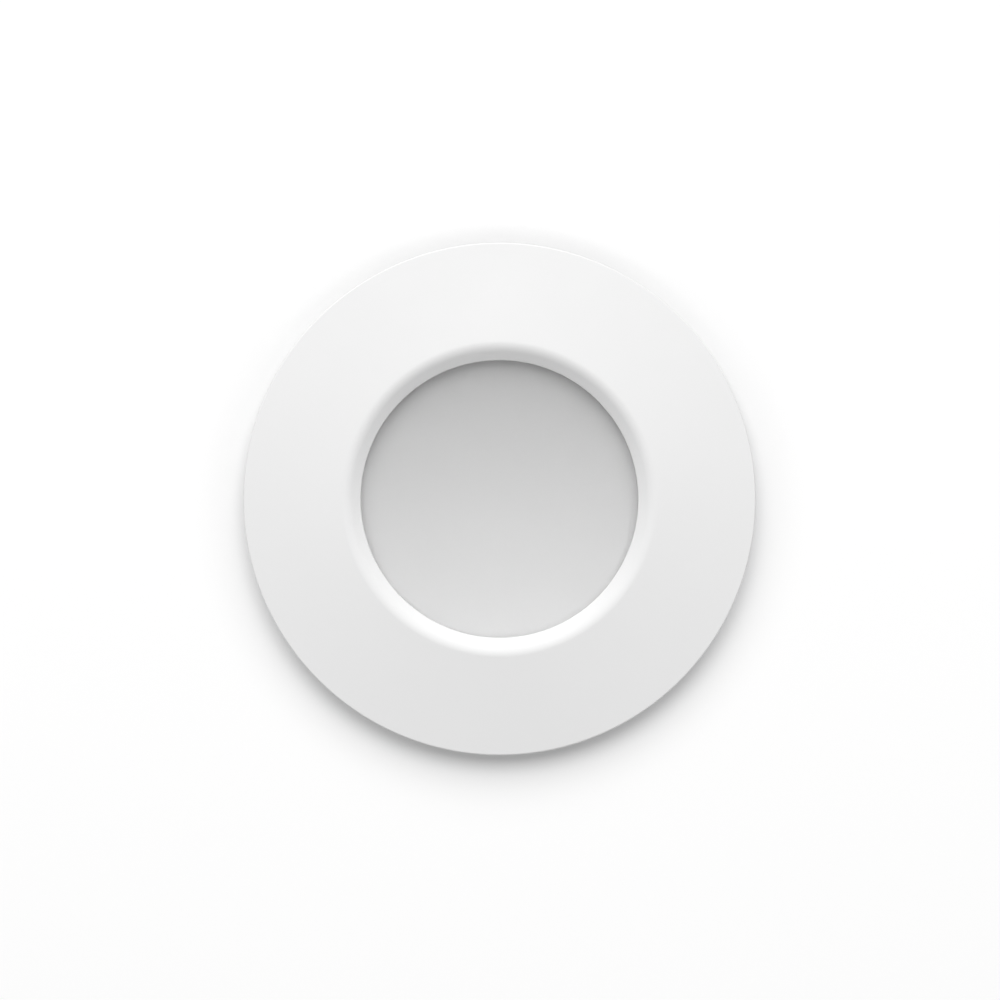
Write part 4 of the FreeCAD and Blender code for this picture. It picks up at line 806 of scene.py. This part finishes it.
# %% Circuit finishes
board_white = finish("board_white", (0.86, 0.86, 0.84), (0.3, 0.4), grain_size=0.4)[0]
board_green = finish("board_green", (0.04, 0.22, 0.10), (0.25, 0.38), drift=0.15, patch=3)[0]
chip_yellow = finish("chip_yellow", (0.90, 0.72, 0.20), (0.2, 0.3), drift=0.1, patch=1)[0]
ferrite = finish("ferrite", (0.06, 0.06, 0.065), (0.55, 0.7), drift=0.2, grain_size=0.15)[0]
winding_tape = finish("winding_tape", (0.75, 0.60, 0.12), (0.15, 0.3), drift=0.1, patch=2)[0]
capacitor_sleeve = finish("capacitor_sleeve", (0.05, 0.06, 0.09), (0.2, 0.32),
                          drift=0.1, patch=3)[0]
print_names(board_white, board_green, chip_yellow, ferrite, winding_tape, capacitor_sleeve)

# %% [markdown]
# The two leads share one finish, but their insulation is red on one side of the light's axis and
# black on the other, so that they can't be swapped.

# %% Lead insulation
lead_insulation, tree, shader, lead_colour = finish(
    "lead_insulation", (0.60, 0.05, 0.04), (0.35, 0.5))
lead_black = (0.03, 0.03, 0.03)
where = node(tree, "SeparateXYZ")
link(tree, node(tree, "TexCoord").outputs["Object"], where.inputs[0])
left_side = math_node(tree, "LESS_THAN", where.outputs["X"], 0.0)
link(tree, mixed_colours(tree, left_side, lead_colour, lead_black), shader.inputs["Base Color"])
print_names(lead_insulation)

# %% [markdown]
# ## Finish by finish
#
# One table says which pieces have which finish. That is easier to check than a line for each
# piece, and the last lines print any piece that was left out.

# %% Give each piece its finish
FINISHES = {
    bezel_white: [ring, lugs],
    diffuser_opal: [dish],
    gasket_foam: [gasket],
    seal_silicone: ["lens_seal"],
    ring_white: ["lens_ring", "reflector"],
    cast_aluminium: ["heat_sink"],
    board_white: ["led_board"],
    chip_yellow: ["led_chips"],
    thermal_grey: ["thermal_pad"],
    screw_steel: ["led_board_screws", "housing_screws", "lid_screws", "cord_clamp_screws",
                  "cover_hinge_pin"],
    lead_insulation: ["led_leads"],
    grommet_rubber: ["wire_grommet"],
    clip_steel: ["right_clip_arm", "left_clip_arm", "right_clip_bracket", "left_clip_bracket",
                 "right_clip_pin", "left_clip_pin", "clip_rivets"],
    spring_steel: ["right_spring_coil", "left_spring_coil"],
    sleeve_vinyl: ["right_clip_sleeve", "left_clip_sleeve"],
    housing_plastic: ["driver_housing", "driver_lid", "terminal_cover"],
    board_green: ["driver_board"],
    ferrite: ["transformer_core", "choke"],
    winding_tape: ["transformer_coil"],
    capacitor_sleeve: ["capacitors"],
    film_box: ["film_capacitor"],
    chip_black: ["driver_chips"],
    fuse_glass: ["fuse"],
    terminal_grey: ["terminal_block", "cord_clamp"],
    contact_brass: ["terminal_contacts"],
    button_orange: ["first_release_button", "second_release_button", "third_release_button"],
}
dressed = set()
for material, pieces in FINISHES.items():
    for piece in pieces:
        if isinstance(piece, str):
            piece = bpy.data.objects[piece]
        piece.data.materials.clear()
        piece.data.materials.append(material)
        dressed.add(piece.name)
bare = [n for n, o in nodes.items() if n not in dressed and not o.hide_render]
print("dressed:", len(dressed), "still bare:", bare)

# %% [markdown]
# ## The ceiling and the floor
#
# The photograph looks straight up at a white ceiling, so a plane at the mounting face shows to
# camera rays from below and takes the ring's soft shadow. From above the same model stands on a
# pale floor under its crest. Each plane shows on one side only. The can above the ceiling gets no
# light from the lamp below it, and an even pale light from the ceiling itself.

# %% Two one-sided planes
STAGE_RADIUS = 8.0
STAGE_STEPS = 96
STAGE_MERGE_GAP = mm / 100


def stage_plane(name, height, hole=0.0):
    """A round plane that faces up, with a round hole in its middle if one is asked for."""
    bm = bmesh.new()
    ends = [bm.verts.new((radius, 0, height)) for radius in (hole, STAGE_RADIUS)]
    edge = bm.edges.new(ends)
    bmesh.ops.spin(bm, geom=[*ends, edge], axis=(0, 0, 1), steps=STAGE_STEPS,
                   angle=2 * math.pi, use_merge=True)
    bmesh.ops.remove_doubles(bm, verts=bm.verts, dist=STAGE_MERGE_GAP)
    bmesh.ops.recalc_face_normals(bm, faces=bm.faces)
    if bm.faces[:][0].normal.z < 0:
        bmesh.ops.reverse_faces(bm, faces=bm.faces)
    mesh = bpy.data.meshes.new(name)
    bm.to_mesh(mesh)
    bm.free()
    made = new_object(name, mesh)
    return made


# %% [markdown]
# Each plane is white paint with a little light of its own, so that it renders white without more
# lamps. Close to the ring that light fades, which leaves the soft shadow and paints a darker halo,
# and far away it takes over from the paint, so that no horizon shows. On the ceiling a little
# painted light stays at the ring's edge, and painted shade darkens the paint near the ring, most
# along the lamp's line. All are worked out from the distance to the ring's edge.

# %% Fades round the ring, for the backdrop and its painted halo, light and shade
def rim_fade(tree, reach, start=0.0):
    """0 at the ring's edge, or start further out, rising to 1 at reach from the edge."""
    radius = node(tree, "VectorMath", operation="LENGTH")
    link(tree, node(tree, "TexCoord").outputs["Object"], radius.inputs[0])
    fade = node(tree, "MapRange", interpolation_type="SMOOTHSTEP")
    link(tree, radius.outputs["Value"], fade.inputs["Value"])
    fade.inputs["From Min"].default_value = bezel_radius + start
    fade.inputs["From Max"].default_value = bezel_radius + reach
    return fade.outputs["Result"]


def lamp_line(tree):
    """1 on the line that the lamp shines along, falling to 0 at the sides."""
    spoke = node(tree, "VectorMath", operation="NORMALIZE")
    link(tree, node(tree, "TexCoord").outputs["Object"], spoke.inputs[0])
    parts = node(tree, "SeparateXYZ")
    link(tree, spoke.outputs["Vector"], parts.inputs[0])
    return math_node(tree, "MULTIPLY", parts.outputs["Y"], parts.outputs["Y"])


# %% [markdown]
# The paint shows to camera rays on one side and is clear to all other rays, so that it doesn't
# shut the light off from what it stands in front of. The ceiling alone also parts the two rooms:
# to all rays but the camera's it is an even pale light from above.

# %% Paint that shows on one side
PAINT = 0.87
PAINTED_SHADE_REACH = 4.5 * mm
GLOW_REACH = 10.6 * mm
FAR_START, FAR_END = 70 * mm, 400 * mm
CEILING_LIGHT = 0.5
FIRST_HIT_DEPTH = 1.5


def stage_material(name, glow, from_below, parts_rooms, painted_rim_light=0.0, painted_rim_shade=0.0):
    """White seen only by camera rays from one side, with painted shade and light near the ring."""
    material = bpy.data.materials.new(name)
    material.use_nodes = True
    tree = material.node_tree
    tree.nodes.remove(tree.nodes["Principled BSDF"])
    output = tree.nodes["Material Output"]
    paint = node(tree, "BsdfDiffuse")
    # Painted shade: near the ring's edge the paint is darkened, most along the lamp's line.
    near_rim = math_node(tree, "SUBTRACT", 1.0, rim_fade(tree, PAINTED_SHADE_REACH))
    painted_shade = math_node(tree, "MULTIPLY", math_node(tree, "MULTIPLY", near_rim, painted_rim_shade),
                      lamp_line(tree))
    far = rim_fade(tree, FAR_END, start=FAR_START)
    lit = math_node(tree, "MULTIPLY", math_node(tree, "SUBTRACT", 1.0, painted_shade), PAINT)
    link(tree, math_node(tree, "MULTIPLY", math_node(tree, "SUBTRACT", 1.0, far), lit),
         paint.inputs["Color"])
    light = node(tree, "Emission")
    # Painted shade and light: the glow drops towards the ring, painting a darker halo round it,
    # and a small painted light stays right at the ring's edge.
    rise = math_node(tree, "MULTIPLY", rim_fade(tree, GLOW_REACH), glow - painted_rim_light)
    glow_with_painted_halo = math_node(tree, "ADD", rise, painted_rim_light)
    far_glow = math_node(tree, "MULTIPLY", far, 1.0 - glow)
    link(tree, math_node(tree, "ADD", glow_with_painted_halo, far_glow), light.inputs["Strength"])
    both = node(tree, "AddShader")
    link(tree, paint.outputs[0], both.inputs[0])
    link(tree, light.outputs[0], both.inputs[1])
    clear = node(tree, "BsdfTransparent")
    rays = node(tree, "LightPath")
    back = node(tree, "NewGeometry").outputs["Backfacing"]
    side = back if from_below else math_node(tree, "SUBTRACT", 1.0, back)
    shown = math_node(tree, "MULTIPLY", rays.outputs["Is Camera Ray"], side)
    picked = node(tree, "MixShader")
    link(tree, shown, picked.inputs["Fac"])
    link(tree, clear.outputs[0], picked.inputs[1])
    link(tree, both.outputs[0], picked.inputs[2])
    surface = picked
    if parts_rooms:
        unseen = math_node(tree, "SUBTRACT", 1.0, rays.outputs["Is Camera Ray"])
        from_above = math_node(tree, "MULTIPLY", unseen, math_node(tree, "SUBTRACT", 1.0, back))
        # A shadow ray's depth is 1 at what the camera sees and 2 or more after a bounce. The later
        # ones are shut off, or the upper lamps would light the ceiling by way of the ring's skirt.
        bounced = math_node(tree, "GREATER_THAN", rays.outputs["Ray Depth"], FIRST_HIT_DEPTH)
        late = math_node(tree, "MULTIPLY", rays.outputs["Is Shadow Ray"], bounced)
        pale = node(tree, "Emission")
        pale.inputs["Strength"].default_value = CEILING_LIGHT
        surface = node(tree, "MixShader")
        link(tree, math_node(tree, "MAXIMUM", from_above, late), surface.inputs["Fac"])
        link(tree, picked.outputs[0], surface.inputs[1])
        link(tree, pale.outputs[0], surface.inputs[2])
        material.cycles.emission_sampling = "NONE"
    link(tree, surface.outputs[0], output.inputs["Surface"])
    return material


# %% [markdown]
# The ceiling has a hole for the can, as wide as the gasket's inside. The floor lies just under the
# ring's lowest point, so that no face of the ring lies in the floor's own plane.

# %% The ceiling and the floor
cutout_radius = gasket_inner
ceiling = stage_plane("ceiling", 0.0, cutout_radius)
ceiling.data.materials.append(stage_material(
    "ceiling_paint", glow=0.15, from_below=True, parts_rooms=True, painted_rim_light=0.075, painted_rim_shade=0.2))
floor_gap = 0.05 * mm
floor_z = face_z - floor_gap
floor = stage_plane("floor", floor_z)
floor.data.materials.append(stage_material(
    "floor_paint", glow=0.17, from_below=False, parts_rooms=False))
print("ceiling at 0 mm, floor at", in_mm(floor_z), "mm")

# %% [markdown]
# ## Light
#
# One large soft lamp shines up at the face from the top of the picture at 45 degrees. It gives the
# ring its bright upper half and the soft shadow below it. The world fills in the rest. Three more
# soft lamps stand above the ceiling plane, for the views of the can.

# %% Lamps
face_middle = Vector((0, 0, face_z))


def softbox(name, way, distance, size, power):
    """A square lamp that faces the middle of the ring, with its power in watts."""
    data = bpy.data.lights.new(name, "AREA")
    data.shape = "SQUARE"
    data.size = size
    data.energy = power
    made = bpy.data.objects.new(name, data)
    way = Vector(way).normalized()
    made.location = face_middle + way * distance
    made.rotation_euler = way.to_track_quat("Z", "Y").to_euler()
    made.visible_camera = False
    bpy.context.scene.collection.objects.link(made)


softbox("room_light", (0.04, 1, -1), distance=2.0, size=2.4, power=46.5)
softbox("key_above", (-0.45, -0.6, 0.9), distance=1.0, size=0.8, power=5.0)
softbox("fill_above", (0.9, -0.3, 0.5), distance=1.0, size=0.8, power=2.4)
softbox("rim_above", (0.3, 0.9, 0.7), distance=1.0, size=0.8, power=2.8)

# %% [markdown]
# The world is plain white and lights the scene softly, as a white room does. It is brighter where
# the camera sees it and in reflections, so that the background is as white as the photograph's.

# %% World
world = bpy.data.worlds.new("room")
bpy.context.scene.world = world
world.use_nodes = True
tree = world.node_tree
backdrop = tree.nodes["Background"]
backdrop.inputs["Color"].default_value = (1, 1, 1, 1)
rays = node(tree, "LightPath")
fill_strength = 0.42
glossy_share = 0.75
seen = math_node(tree, "MAXIMUM", rays.outputs["Is Camera Ray"],
                 math_node(tree, "MULTIPLY", rays.outputs["Is Glossy Ray"], glossy_share))
strength = node(tree, "MapRange")
link(tree, seen, strength.inputs["Value"])
strength.inputs["To Min"].default_value = fill_strength
strength.inputs["To Max"].default_value = 1.0
link(tree, strength.outputs["Result"], backdrop.inputs["Strength"])
print("fill light:", fill_strength)

# %% [markdown]
# ## Camera
#
# The photograph looks along the light's own axis, and the ring is about half as wide as the
# picture. A long lens straight below gives the same flat view. The top of the picture is +Y.

# %% Camera
lens_mm, sensor_mm = 135, 36
camera_data = bpy.data.cameras.new("camera")
camera_data.lens = lens_mm
camera_data.sensor_width = sensor_mm
camera_data.shift_x = 0.0005
camera_data.shift_y = -0.001
camera_distance = 0.6585
ring_edge_z = -3.5 * mm
camera = bpy.data.objects.new("camera", camera_data)
camera.location = (0, 0, ring_edge_z - camera_distance)
camera.rotation_euler = (0, math.pi, 0)
bpy.context.scene.collection.objects.link(camera)
bpy.context.scene.camera = camera
bpy.context.scene.view_settings.view_transform = "Standard"
picture_width = camera_distance * sensor_mm / lens_mm
print("picture's width at the ring:", in_mm(picture_width, 1), "mm")

# %% [markdown]
# ## The end
#

# %% Finish
import json
